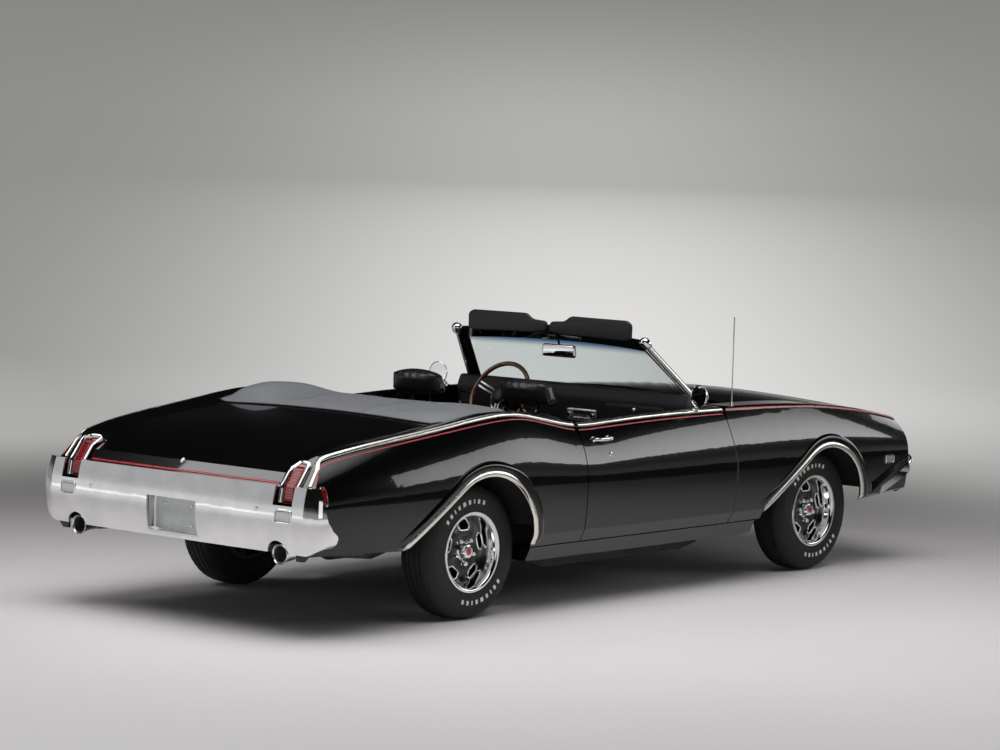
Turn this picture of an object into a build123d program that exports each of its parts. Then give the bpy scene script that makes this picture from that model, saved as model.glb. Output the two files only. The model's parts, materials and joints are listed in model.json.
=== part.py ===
"""Open two-door muscle car, as an assembly of panels, cabin, running gear and wheels.

Millimetres. X runs forward, Y to the left, Z up; the ground is Z = 0 and the
origin is the middle of the overall length and width.
"""
from build123d import *
from functools import lru_cache
import math
import os

# Overall layout
LENGTH = 5128.0
WHEELBASE = 2845.0
REAR_OVERHANG = 1200.0
TAIL_BACK = 1146.0
TRACK = 1499.0
TYRE_RADIUS = 330.0
TYRE_WIDTH = 204.0

# Clearances
SHUT_GAP = 6.0
RUNNING = 0.05
MOVING_GAP = 6.0

# Body panels
SKIN = 12.0
LID_THICK = 22.0
CREST_ROLL = 26.0
FLOOR_Z = 290.0
SHEET = 12.0
TRUNK_FLOOR_Z = 526.0
TANK_LOW = 402.0

# Doors
DOOR_REAR = -700.0
DOOR_FRONT = 545.0
DOOR_BOTTOM = 336.0
DOOR_INNER = 815.0
DOOR_SLANT = 12.0
DOOR_HINGE_FORWARD = 45.0
DOOR_HINGE_Y = 910.0
DOOR_HINGE_RADIUS = 62.0
DOOR_PIN_RADIUS = 8.0
DOOR_HINGE_HEIGHTS = (455.0, 690.0)
DOOR_LUG_HEIGHT = 22.0

# Hood
HOOD_REAR = 745.0
HOOD_FRONT = 2212.0
HOOD_HALF_REAR = 692.0
HOOD_HALF_FRONT = 610.0
HOOD_AXIS_BACK = 52.0
HOOD_AXIS_Z = 936.0
HOOD_ARM_Y = 560.0

# Trunk lid
LID_FRONT = -1760.0
LID_HALF_FRONT = 600.0
LID_HALF_REAR = 655.0
LID_AXIS_AHEAD = 160.0
LID_AXIS_Z = 872.0
LID_ARM_Y = 520.0
LID_ARM_DROP = 182.0

# Wheel openings, from the wheel centre
ARCH_RADIUS = 338.0
ARCH_FRONT_RISE = 18.0
ARCH_REAR_RISE = 40.0
ARCH_TAIL_X = -600.0
ARCH_TAIL_Z = 372.0

# Bumpers, lamps and plate
BUMPER_BULGE = 26.0
BUMPER_THICK = 10.0
BUMPER_CORNER = 58.0
REAR_BUMPER_Z = (404.0, 716.0)
FRONT_BUMPER_Z = (380.0, 590.0)
LAMP_IN = 664.0
LAMP_OUT = 772.0
LAMP_LOW = 632.0
LAMP_HIGH = 822.0
LAMP_DEPTH = 45.0
PLATE_HALF = 166.0
PLATE_Z = (432.0, 596.0)
PLATE_DEPTH = 58.0
PLATE_HOLE_Y = 89.0
PLATE_HOLE_Z = 560.0
PLATE_HOLE_RADIUS = 3.5
EXHAUST_Y = 681.0
EXHAUST_Z = 397.0
EXHAUST_NOTCH = 66.0

# Nose
NOSE_HALF = 790.0
HEADLAMP_Y = (470.0, 668.0)
HEADLAMP_Z = 654.0
HEADLAMP_RADIUS = 84.0
GRILLE_HALF = 372.0
GRILLE_Z = (600.0, 712.0)
MARKER_FRONT = (2046.0, 2134.0, 562.0, 604.0)
MARKER_REAR = (-2466.0, -2434.0, 628.0, 720.0)
REVERSE_Y = (672.0, 782.0)
REVERSE_Z = (548.0, 606.0)
LID_LOW = 722.0

# Fittings
ANTENNA_X = 633.0
ANTENNA_Y = 848.0
ANTENNA_TOP = 1412.0
MIRROR_X = 280.0
MIRROR_Y = 905.0
MIRROR_Z = 1012.0
PIPE_RADIUS = 27.0
GEARBOX_RADIUS = 96.0
COLUMN_RADIUS = 30.0
COLUMN_SHAFT = 11.0
SEAT_WIDTH = 500.0
DASH_HALF = 788.0

# Steering and hubs
KINGPIN_Y = 678.0
KINGPIN_PIN = 10.0
KINGPIN_HALF = 128.0
SPINDLE_RADIUS = 20.0
HUB_FACE = 40.0

# Windscreen
SCREEN_BASE_X = 470.0
SCREEN_BASE_SWEEP = 165.0
SCREEN_BASE_HALF = 800.0
SCREEN_BASE_Z = 945.0
SCREEN_TOP_X = 140.0
SCREEN_TOP_SWEEP = 62.0
SCREEN_TOP_HALF = 650.0
SCREEN_TOP_Z = 1288.0
SCREEN_TOP_CROWN = 24.0
SCREEN_FRAME = 34.0
SCREEN_GLASS = 6.0

# Cabin
TUNNEL_HALF = 165.0
TUNNEL_TOP = 420.0
CABIN_SEAT_Y = 375.0
BOOT_FRONT = -985.0
BOOT_REAR = -1700.0
BOOT_HALF = 752.0
BOOT_TOP = 1048.0
STEER_CENTRE = (165.0, 365.0, 925.0)
STEER_RAKE = 26.0
STEER_RADIUS = 203.0

X_REAR = -LENGTH / 2
X_RA = X_REAR + REAR_OVERHANG
X_FA = X_RA + WHEELBASE
X_MID = (X_RA + X_FA) / 2
HALF_TRACK = TRACK / 2
TAIL_X = X_RA - TAIL_BACK
RIM_RADIUS = 182.0
BIG = 4000.0

# Body sections: from, x, then (y, z) of the top centre, seam, crest, widest line, crease and lower edge
SECTION_COLUMNS = (
    "datum", "x", "top_z", "seam_y", "seam_z", "crest_y", "crest_z",
    "wide_y", "wide_z", "crease_y", "crease_z", "low_y", "low_z",
)
SECTIONS = (
    ("rear", -1218, 690, 640, 678, 770, 815, 870, 610, 850, 430, 800, 372),
    ("rear", -1028, 805, 660, 798, 800, 848, 902, 615, 886, 420, 830, 366),
    ("rear", -728, 893, 680, 880, 840, 900, 936, 620, 921, 410, 860, 356),
    ("rear", -278, 950, 700, 932, 862, 955, 957, 625, 945, 400, 880, 330),
    ("rear", 242, 988, 710, 968, 868, 1000, 966, 640, 950, 395, 885, 268),
    ("mid", -700, 940, 720, 905, 872, 925, 966, 630, 950, 395, 885, 260),
    ("mid", -400, 945, 725, 915, 872, 930, 965, 622, 950, 393, 885, 258),
    ("mid", 200, 970, 725, 935, 872, 943, 962, 615, 948, 392, 885, 258),
    ("front", -522, 985, 700, 940, 870, 938, 958, 610, 944, 390, 880, 264),
    ("front", 78, 955, 680, 912, 862, 910, 950, 605, 935, 390, 870, 300),
    ("front", 628, 880, 640, 850, 838, 840, 925, 600, 905, 400, 845, 360),
    ("front", 1000, 808, 590, 780, 800, 760, 880, 590, 860, 410, 800, 380),
)
DATUM = {"rear": X_RA, "mid": X_MID, "front": X_FA}


def mid(x):
    """X of a place given from the middle of the wheelbase."""
    return X_MID + x


def ra(x):
    """X of a place given from the rear axle."""
    return X_RA + x


def fa(x):
    """X of a place given from the front axle."""
    return X_FA + x


def box(x0, x1, y0, y1, z0, z1):
    """Box between two corners."""
    size = (abs(x1 - x0), abs(y1 - y0), abs(z1 - z0))
    centre = ((x0 + x1) / 2, (y0 + y1) / 2, (z0 + z1) / 2)
    return Pos(*centre) * Box(*size)


def rod(start, end, radius):
    """Round bar between two points."""
    start, end = Vector(*start), Vector(*end)
    along = end - start
    plane = Plane(origin=start, z_dir=along)
    return extrude(plane * Circle(radius), along.length)


def tube_y(x, z, y0, y1, radius):
    """Cylinder along Y."""
    return rod((x, y0, z), (x, y1, z), radius)


def post(x, y, z0, z1, radius):
    """Cylinder along Z."""
    return rod((x, y, z0), (x, y, z1), radius)


def plan(points, z0, z1):
    """Prism on a plan outline of (x, y) points."""
    face = make_face(Polyline(*points, close=True))
    return Pos(0, 0, z0) * extrude(face, z1 - z0, dir=(0, 0, 1))


def profile(points, y0, y1):
    """Prism across the car on a side outline of (x, z) points."""
    line = Polyline(*[(x, y0, z) for x, z in points], close=True)
    return extrude(make_face(line), y1 - y0, dir=(0, 1, 0))


def mirrored(shape):
    """The same shape on the other side of the car."""
    return mirror(shape, about=Plane.XZ)


def both(shape):
    """A shape with its mirror image."""
    return Compound(list(shape.solids()) + list(mirrored(shape).solids()))


def solids_of(shape):
    """The solids of a shape as one compound, the largest first."""
    return sorted(shape.solids(), key=lambda s: -s.volume)


def largest(shape):
    """The largest solid of a shape."""
    return solids_of(shape)[0]


# Body form


def upright_arc(tip, wide):
    """Middle point of the arc from tip to the widest point, upright there; (y, z)."""
    run, rise = wide[0] - tip[0], tip[1] - wide[1]
    radius = (run * run + rise * rise) / (2 * run)
    centre_y = wide[0] - radius
    half = math.atan2(rise, tip[0] - centre_y) / 2
    return (centre_y + radius * math.cos(half), wide[1] + radius * math.sin(half))


def body_wire(values, inset, below):
    """Closed section of the whole body at one station, of lines and arcs."""
    s = dict(zip(SECTION_COLUMNS, values))
    x = DATUM[s["datum"]] + s["x"]
    seam = (s["seam_y"], s["seam_z"] - inset)
    crest_y, crest_z = s["crest_y"] - inset, s["crest_z"] - inset
    crest_in = (crest_y - CREST_ROLL, crest_z)
    crest_out = (crest_y, crest_z - CREST_ROLL)
    lean = CREST_ROLL * (1 - math.sqrt(0.5))
    crest_mid = (crest_y - lean, crest_z - lean)
    wide = (s["wide_y"] - inset, s["wide_z"])
    crease = (s["crease_y"] - inset, s["crease_z"])
    low = (s["low_y"] - inset, s["low_z"] - below)

    def at(point, side):
        return (x, side * point[0], point[1])

    def flank(side):
        return [
            Line(at(seam, side), at(crest_in, side)),
            ThreePointArc(at(crest_in, side), at(crest_mid, side), at(crest_out, side)),
            ThreePointArc(at(crest_out, side), at(upright_arc(crest_out, wide), side), at(wide, side)),
            ThreePointArc(at(wide, side), at(upright_arc(crease, wide), side), at(crease, side)),
            Line(at(crease, side), at(low, side)),
        ]

    top = ThreePointArc(at(seam, 1), (x, 0, s["top_z"] - inset), at(seam, -1))
    bottom = Line(at(low, -1), at(low, 1))
    return Wire([top] + flank(-1) + [bottom] + flank(1))


def envelope_wire(y, front, rear):
    """Side outline that rounds the nose and slopes the tail, at one place across the car."""
    nose, tail = fa(818.0 + front), TAIL_X - rear
    knee = 200.0
    rise = 655.0
    top = Vector(nose - knee, y, rise + knee)
    bend = knee * math.sqrt(0.5)
    return Wire([
        Line((tail + 128, y, 862), (tail + 12, y, 704)),
        Line((tail + 12, y, 704), (tail, y, 640)),
        Line((tail, y, 640), (tail, y, 100)),
        Line((tail, y, 100), (nose, y, 100)),
        Line((nose, y, 100), (nose, y, rise)),
        ThreePointArc((nose, y, rise), (nose - knee + bend, y, rise + bend), top),
        Line(top, (fa(80), y, 1150)),
        Line((fa(80), y, 1150), (ra(-900), y, 1150)),
        Line((ra(-900), y, 1150), (tail + 128, y, 862)),
    ])


@lru_cache(None)
def body_solid(inset=0.0, below=0.0):
    """The whole body as one solid, its surface moved in by inset."""
    return Solid.make_loft([body_wire(row, inset, below) for row in SECTIONS], False)


@lru_cache(None)
def body_ends(inset=0.0):
    """Solid between the nose and the tail surfaces, moved in by inset."""
    stations = ((-1000.0, -14.0, -14.0), (0.0, 120.0, 12.0), (1000.0, -14.0, -14.0))
    wires = [envelope_wire(y, front - inset, rear - inset) for y, front, rear in stations]
    return Solid.make_loft(wires, False)


OUTER = body_solid() & body_ends()
INNER = body_solid(SKIN, 80.0) & body_ends(SKIN)
TAIL_SLAB = body_ends(-20.0) - body_ends(LAMP_DEPTH + 1.0)
SHELL = OUTER - INNER
LID_SHELL = OUTER - (body_solid(LID_THICK, 80.0) & body_ends(LID_THICK))


def arch(axle_x, rise, y0, y1, grow=0.0):
    """Wheel opening: round over the wheel, open below, with a long sloping trailing side."""
    radius = ARCH_RADIUS + grow
    cx, cz = axle_x, TYRE_RADIUS + rise
    tail = (axle_x + ARCH_TAIL_X - grow, ARCH_TAIL_Z)
    dx, dz = tail[0] - cx, tail[1] - cz
    reach = math.hypot(dx, dz)
    angle = math.atan2(dz, dx) - math.acos(radius / reach)
    touch = (cx + radius * math.cos(angle), cz + radius * math.sin(angle))
    middle = angle / 2
    crown = (cx + radius * math.cos(middle), cz + radius * math.sin(middle))
    face = make_face([
        Line((tail[0], y0, tail[1]), (touch[0], y0, touch[1])),
        ThreePointArc((touch[0], y0, touch[1]), (crown[0], y0, crown[1]), (cx + radius, y0, cz)),
        Line((cx + radius, y0, cz), (cx + radius, y0, 50)),
        Line((cx + radius, y0, 50), (tail[0], y0, 50)),
        Line((tail[0], y0, 50), (tail[0], y0, tail[1])),
    ])
    return extrude(face, y1 - y0, dir=(0, 1, 0))


# Doors and their hinges
DOOR_AXIS_X = mid(DOOR_FRONT) + DOOR_HINGE_FORWARD
HOOD_AXIS_X = mid(HOOD_REAR) - HOOD_AXIS_BACK
LID_AXIS_X = mid(LID_FRONT) + LID_AXIS_AHEAD


def door_right():
    """Right door: the full thickness from skin to inner trim, with its hinge eyes."""
    rear, front = mid(DOOR_REAR), DOOR_AXIS_X
    outline = [
        (rear + SHUT_GAP, -BIG / 2),
        (front, -BIG / 2),
        (front, -DOOR_HINGE_Y),
        (front - DOOR_HINGE_RADIUS, -DOOR_HINGE_Y),
        (front - DOOR_HINGE_RADIUS, -DOOR_INNER),
        (rear + SHUT_GAP + DOOR_SLANT, -DOOR_INNER),
        (rear + SHUT_GAP, -DOOR_INNER - 120),
    ]
    slab = OUTER & plan(outline, DOOR_BOTTOM, 1200)
    slab -= post(front, -DOOR_HINGE_Y, 100, 1200, DOOR_HINGE_RADIUS)
    for z in DOOR_HINGE_HEIGHTS:
        eye = post(front, -DOOR_HINGE_Y, z - DOOR_LUG_HEIGHT, z + DOOR_LUG_HEIGHT, DOOR_PIN_RADIUS + 9)
        reach, half = DOOR_HINGE_RADIUS + 18, 6.0
        corners = ((half, half), (-half, -half), (-reach - half, reach - half), (-reach + half, reach + half))
        strap = plan([(front + dx, -DOOR_HINGE_Y + dy) for dx, dy in corners],
                     z - DOOR_LUG_HEIGHT, z + DOOR_LUG_HEIGHT)
        slab = slab + strap + eye
        slab -= post(front, -DOOR_HINGE_Y, z - 60, z + 60, DOOR_PIN_RADIUS + RUNNING)
    return largest(slab)


def door_post(side=-1):
    """Hinge post of a door, with the pins that carry its two eyes."""
    x = DOOR_AXIS_X
    solid = INNER & box(x - 30, x + 45, -DOOR_INNER + 30, -DOOR_INNER + 130, FLOOR_Z + SHEET, 1000)
    for z in DOOR_HINGE_HEIGHTS:
        for low, high in ((z - DOOR_LUG_HEIGHT - 24, z - DOOR_LUG_HEIGHT - 1),
                          (z + DOOR_LUG_HEIGHT + 1, z + DOOR_LUG_HEIGHT + 24)):
            solid += box(x - 12, x + 24, -DOOR_HINGE_Y, -DOOR_INNER + 60, low, high)
            solid += post(x, -DOOR_HINGE_Y, low, high, DOOR_PIN_RADIUS + 6)
        solid += post(x, -DOOR_HINGE_Y, z - DOOR_LUG_HEIGHT - 24, z + DOOR_LUG_HEIGHT + 24, DOOR_PIN_RADIUS)
    return largest(solid)


def hood_outline(grow):
    """Plan outline of the hood, grown by a gap."""
    rear, front = mid(HOOD_REAR) - grow, mid(HOOD_FRONT) + grow
    return [
        (rear, -HOOD_HALF_REAR - grow), (front, -HOOD_HALF_FRONT - grow),
        (front, HOOD_HALF_FRONT + grow), (rear, HOOD_HALF_REAR + grow),
    ]


def lid_outline(grow):
    """Plan outline of the trunk lid, grown by a gap; it runs off the tail."""
    front, rear = mid(LID_FRONT) + grow, ra(-1300.0)
    return [
        (rear, -LID_HALF_REAR - grow), (front, -LID_HALF_FRONT - grow),
        (front, LID_HALF_FRONT + grow), (rear, LID_HALF_REAR + grow),
    ]


def hood():
    """Hood panel with its two hinge arms."""
    panel = largest(LID_SHELL & plan(hood_outline(0.0), 640, 1200))
    core = body_solid(LID_THICK - 4.0, 80.0)
    for y in (-HOOD_ARM_Y, HOOD_ARM_Y):
        arm = box(HOOD_AXIS_X, mid(HOOD_REAR) + 150, y - 8, y + 8, HOOD_AXIS_Z - 12, HOOD_AXIS_Z + 60)
        arm = (arm & core) - box(HOOD_AXIS_X - 50, mid(HOOD_REAR) - 1, y - 20, y + 20,
                                 HOOD_AXIS_Z + 12, HOOD_AXIS_Z + 100)
        eye = tube_y(HOOD_AXIS_X, HOOD_AXIS_Z, y - 8, y + 8, 16)
        panel = panel + arm + eye
        panel -= tube_y(HOOD_AXIS_X, HOOD_AXIS_Z, y - 30, y + 30, 8 + RUNNING)
    return largest(panel)


def trunk_lid():
    """Trunk lid with its two gooseneck arms."""
    panel = largest(LID_SHELL & plan(lid_outline(0.0), LID_LOW, 1200))
    core = body_solid(LID_THICK - 4.0, 80.0)
    low = LID_AXIS_Z - LID_ARM_DROP
    back = LID_AXIS_X - 268
    for y in (-LID_ARM_Y, LID_ARM_Y):
        arm = box(LID_AXIS_X - 9, LID_AXIS_X + 9, y - 8, y + 8, low - 9, LID_AXIS_Z)
        arm += box(back - 9, LID_AXIS_X + 9, y - 8, y + 8, low - 9, low + 9)
        arm += box(back - 9, back + 9, y - 8, y + 8, low - 9, 1100) & core
        arm += tube_y(LID_AXIS_X, LID_AXIS_Z, y - 8, y + 8, 16)
        panel = panel + arm
        panel -= tube_y(LID_AXIS_X, LID_AXIS_Z, y - 30, y + 30, 8 + RUNNING)
    return largest(panel)


def hinge_bracket(x, z, y, foot_z0, foot_z1):
    """Two cheeks and a pin across Y for one hinge arm at y, standing on or hung from a foot."""
    solid = tube_y(x, z, y - 20, y + 20, 8)
    for y0, y1 in ((y - 20, y - 9), (y + 9, y + 20)):
        solid += tube_y(x, z, y0, y1, 13)
        solid += box(x - 13, x + 13, y0, y1, min(foot_z0, z), max(foot_z1, z))
    return solid


# Fixed panels


def fender_right():
    """Right front fender: skin from the hood seam over the crest to the lower edge."""
    rear = DOOR_AXIS_X - DOOR_HINGE_RADIUS - SHUT_GAP
    skin = SHELL & box(rear - 20, fa(1200), -BIG / 2, -200, DOOR_BOTTOM, 1200)
    skin -= plan(hood_outline(SHUT_GAP), 640, 1200)
    skin -= nose_region(0.0)
    skin -= box(rear - 100, mid(HOOD_REAR) - SHUT_GAP, -HOOD_HALF_REAR - SHUT_GAP, 0, 600, 1200)
    skin -= arch(X_FA, ARCH_FRONT_RISE, -1200, -300)
    keep = post(DOOR_AXIS_X, -DOOR_HINGE_Y, 100, 1200, DOOR_HINGE_RADIUS - SHUT_GAP)
    keep += box(DOOR_AXIS_X, fa(1200), -BIG / 2, -200, 100, 1200)
    return largest(skin & keep)


def quarter_right():
    """Right rear quarter: skin from the lid seam to the lower edge, with the lock post."""
    front = mid(DOOR_REAR)
    skin = SHELL & box(ra(-1400), front, -BIG / 2, -300, DOOR_BOTTOM, 1200)
    skin -= plan(lid_outline(SHUT_GAP), 440, 1200)
    skin -= box(mid(LID_FRONT), front + 10, -BOOT_HALF - 8, 0, 600, 1200)
    jamb = (body_solid(SKIN - 2.0, 0.0)
            & box(front - 16, front, -BIG / 2, -BOOT_HALF + 10, DOOR_BOTTOM, 1200))
    skin += jamb
    skin -= arch(X_RA, ARCH_REAR_RISE, -1200, -300)
    skin -= box(ra(-1400), ra(-1060), -EXHAUST_Y - 90, -300, 300, EXHAUST_Z + EXHAUST_NOTCH)
    skin -= box(ra(-1400), ra(-900), -LAMP_OUT, -300, LAMP_LOW, LAMP_HIGH) & TAIL_SLAB
    return largest(skin)



def tail_lamp_right():
    """Red lens that stands upright in the tail beside the lid."""
    solid = (OUTER - body_ends(LAMP_DEPTH)) & box(ra(-1400), ra(-900), -LAMP_OUT + 1, -LAMP_IN, LAMP_LOW + 1,
                                            LAMP_HIGH - 1)
    return largest(solid)


def deck_panel():
    """Panel between the trunk lid and the folded top, full width between the quarters."""
    shell = OUTER - body_solid(15.0, 80.0)
    panel = shell & box(mid(LID_FRONT) + SHUT_GAP, mid(BOOT_REAR) + 130, -BOOT_HALF - 7, BOOT_HALF + 7, 800, 1200)
    panel = largest(panel)
    core = body_solid(13.0, 80.0)
    for y in (-LID_ARM_Y, LID_ARM_Y):
        bracket = hinge_bracket(LID_AXIS_X, LID_AXIS_Z, y, LID_AXIS_Z, 1100) & core
        panel += bracket
    return largest(panel)


def arc_strip(point, half, sweep, crown, thick):
    """Closed strip across the car along an arc: the screen's cross section."""
    x, z = point
    rise = Vector(SCREEN_TOP_X - SCREEN_BASE_X, 0, SCREEN_TOP_Z - SCREEN_BASE_Z).normalized()
    normal = Vector(rise.Z, 0, -rise.X)
    depth = Vector(sweep, 0, crown).normalized()
    inward = depth * (-thick / depth.dot(normal))
    ends = [Vector(x, -half, z), Vector(x + sweep, 0, z + crown), Vector(x, half, z)]
    back = [p + inward for p in ends]
    return Wire([
        ThreePointArc(*ends), Line(ends[2], back[2]),
        ThreePointArc(back[2], back[1], back[0]), Line(back[0], ends[0]),
    ])


def screen_slab(side, low, high, thick, offset):
    """Part of the screen's curved sheet: side, low and high move its edges in, offset moves it inward."""
    rise = SCREEN_TOP_Z - SCREEN_BASE_Z
    strips = []
    for lift in (low, rise - high):
        f = lift / rise
        half = SCREEN_BASE_HALF + (SCREEN_TOP_HALF - SCREEN_BASE_HALF) * f
        sweep = SCREEN_BASE_SWEEP + (SCREEN_TOP_SWEEP - SCREEN_BASE_SWEEP) * f
        crown = SCREEN_TOP_CROWN * f
        share = ((half - side) / half) ** 2
        x = SCREEN_BASE_X + (SCREEN_TOP_X - SCREEN_BASE_X) * f + sweep * (1 - share)
        z = SCREEN_BASE_Z + lift + crown * (1 - share)
        strips.append(arc_strip((mid(x) - offset * 1.4, z), half - side, sweep * share, crown * share, thick))
    return Solid.make_loft(strips, True)


SCREEN_HOLE = screen_slab(44.0, 34.0, 40.0, SCREEN_FRAME * 3, -SCREEN_FRAME)


def windscreen_frame():
    """Ring of base rail, two pillars and header."""
    return largest(screen_slab(0.0, 0.0, 0.0, SCREEN_FRAME, 0.0) - SCREEN_HOLE)


def windscreen():
    """Curved glass that fills the ring."""
    return largest(screen_slab(0.0, 0.0, 0.0, SCREEN_GLASS, 12.0) & SCREEN_HOLE)


# Structure


def rail_right():
    """Right frame rail: front horn, torque box, side rail, kick-up over the axle and rear horn."""
    stations = (
        (fa(830), 420, 400), (fa(-480), 420, 350), (mid(640), 600, 250), (mid(420), 655, 235),
        (mid(-700), 655, 235), (mid(-960), 590, 330), (ra(180), 520, 466), (ra(-240), 520, 466),
        (ra(-520), 520, 440), (ra(-1060), 520, 440),
    )
    wires = []
    for x, y, z in stations:
        wires.append(Wire(Polyline((x, -y - 35, z - 55), (x, -y + 35, z - 55), (x, -y + 35, z + 55),
                                   (x, -y - 35, z + 55), close=True).edges()))
    return Solid.make_loft(wires, True)


def crossmembers():
    """Cross pieces that tie the rails together."""
    rows = (
        (fa(-110), fa(110), 385, 250, 320),
        (fa(700), fa(770), 385, 352, 420),
        (mid(200), mid(300), 620, 168, 306 - GEARBOX_RADIUS),
        (ra(150), ra(200), 485, 440, 500),
        (ra(-1040), ra(-960), 485, 400, 480),
    )
    return Compound([box(x0, x1, -y, y, z0, z1).solid() for x0, x1, y, z0, z1 in rows])


def floor_pan():
    """Cabin floor with the tunnel along its middle."""
    half, top = 700.0, FLOOR_Z + SHEET
    outer_half, tunnel_top = TUNNEL_HALF, TUNNEL_TOP
    points = [
        (-half, FLOOR_Z), (-outer_half, FLOOR_Z), (-outer_half + 50, tunnel_top - SHEET),
        (outer_half - 50, tunnel_top - SHEET), (outer_half, FLOOR_Z), (half, FLOOR_Z), (half, top),
        (outer_half + 8, top), (outer_half - 42, tunnel_top), (-outer_half + 42, tunnel_top),
        (-outer_half - 8, top), (-half, top),
    ]
    x0, x1 = mid(-860), mid(600)
    face = make_face(Polyline(*[(x0, y, z) for y, z in points], close=True))
    return largest(extrude(face, x1 - x0, dir=(1, 0, 0)) - RAIL - mirrored(RAIL))


def firewall_cowl():
    """Firewall, cowl shelf under the screen, hinge posts and the hood's hinge brackets."""
    x = mid(600)
    wall = INNER & box(x, x + SHEET, -860, 860, FLOOR_Z, 945)
    shelf = box(mid(430), mid(520), -DOOR_INNER + 8, DOOR_INNER - 8, 912, SCREEN_BASE_Z)
    arc_x = SCREEN_BASE_X + SCREEN_BASE_SWEEP
    shelf += box(mid(500), mid(arc_x + 12), -HOOD_HALF_REAR, HOOD_HALF_REAR, 912, SCREEN_BASE_Z)
    well = box(x, mid(HOOD_REAR) + 40, -HOOD_HALF_REAR, HOOD_HALF_REAR, 885, 897)
    well += box(x, x + SHEET, -HOOD_HALF_REAR, HOOD_HALF_REAR, 885, 930)
    solid = wall + shelf + well + door_post() + mirrored(door_post())
    solid += box(x, DOOR_AXIS_X + 45, -DOOR_INNER + 130, -DOOR_INNER + 20, FLOOR_Z, 912)
    solid += box(x, DOOR_AXIS_X + 45, DOOR_INNER - 20, DOOR_INNER - 130, FLOOR_Z, 912)
    for side in (-1, 1):
        solid -= box(mid(0), fa(0), side * 700, side * 1200, 0, DOOR_BOTTOM - SHUT_GAP)
    solid -= box(mid(500), mid(700), -TUNNEL_HALF, TUNNEL_HALF, 0, TUNNEL_TOP)
    solid = solid - RAIL - mirrored(RAIL)
    solid -= box(x + SHEET, mid(HOOD_REAR) + 40, -HOOD_ARM_Y - 30, -HOOD_ARM_Y + 30, 897, 1000)
    solid -= box(x + SHEET, mid(HOOD_REAR) + 40, HOOD_ARM_Y - 30, HOOD_ARM_Y + 30, 897, 1000)
    for y in (-HOOD_ARM_Y, HOOD_ARM_Y):
        solid += hinge_bracket(HOOD_AXIS_X, HOOD_AXIS_Z, y, 890, HOOD_AXIS_Z)
    return largest(solid)


def trunk_floor():
    """Heel board, seat pan, trunk floor and the bulkhead behind the rear seat."""
    z = TRUNK_FLOOR_Z
    front, rear = mid(-872), ra(-1090)
    wide = ra(-520)
    pan = plan([(front, -620), (wide, -620), (wide, -850), (rear, -850), (rear, 850), (wide, 850),
                (wide, 620), (front, 620)], z, z + SHEET)
    heel = box(front, front + SHEET, -620, 620, FLOOR_Z, z + SHEET)
    heel -= box(front - 5, front + 50, -TUNNEL_HALF, TUNNEL_HALF, 0, TUNNEL_TOP)
    wall = INNER & box(mid(-1330), mid(-1318), -620, 620, z, 940)
    return largest((pan + heel + wall) - RAIL - mirrored(RAIL))


def wheelhouse(axle_x, rise, inner_y, grow, wall):
    """Liner over one right wheel, out to the panel's skin."""
    shell = arch(axle_x, rise, -1000, -inner_y, grow + SHEET) - arch(axle_x, rise, -1100, -100, grow)
    if wall:
        shell += arch(axle_x, rise, -inner_y - SHEET, -inner_y, grow + SHEET)
    shell -= box(axle_x - 900, axle_x + 900, -1100, -100, 0, 440)
    return largest(shell & INNER)


def rocker_right():
    """Right sill between the wheel openings."""
    solid = OUTER & box(ra(348), fa(-640), -1000, -700, 200, DOOR_BOTTOM - SHUT_GAP)
    return largest(solid)


# Brightwork


def bumper(points, corner, height0, height1, bulge, thick):
    """Blade swept round the end of the car, along a plan path given for the right half."""
    right = [(x, -y) for x, y in points]
    left = [(x, y) for x, y in reversed(points)]
    path = FilletPolyline(*[(x, y, 0) for x, y in right + left], radius=corner)
    x0, y0 = right[0]
    middle = (height0 + height1) / 2
    start = Plane(origin=(x0, y0, 0), z_dir=(right[1][0] - x0, right[1][1] - y0, 0), x_dir=(0, 0, 1))
    side = 1.0 if right[1][0] > x0 else -1.0
    section = make_face([
        ThreePointArc((height0, 0), (middle, side * bulge), (height1, 0)),
        Line((height1, 0), (height1, -side * thick)),
        ThreePointArc((height1, -side * thick), (middle, side * (bulge - thick)), (height0, -side * thick)),
        Line((height0, -side * thick), (height0, 0)),
    ])
    return sweep(start * section, path=path)


# Side outline cut from each rear bumper end, back from the tail, and its lower corner as (y, z)
BUMPER_END = ((10, 740), (12, 620), (24, 566), (52, 524), (82, 502), (90, 488), (86, 466), (66, 440), (50, 380),
              (240, 380), (240, 740))
BUMPER_HEEL = ((1000, 530), (962, 474), (930, 442), (880, 414), (845, 402), (820, 380), (1000, 380))
# Lower corner cut from each front bumper end, seen from ahead as (y, z)
BUMPER_CHIN = ((250, 380), (520, 524), (780, 548), (1000, 556), (1000, 350), (250, 350))

REAR_BLADE = ((TAIL_X + 120, 932), (TAIL_X + 12, 930), (TAIL_X - 16, 850), (X_REAR + BUMPER_BULGE, 420))
FRONT_BLADE = ((fa(490), 940), (fa(830), 926), (fa(950), 800), (-X_REAR - BUMPER_BULGE, 420))


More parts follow.
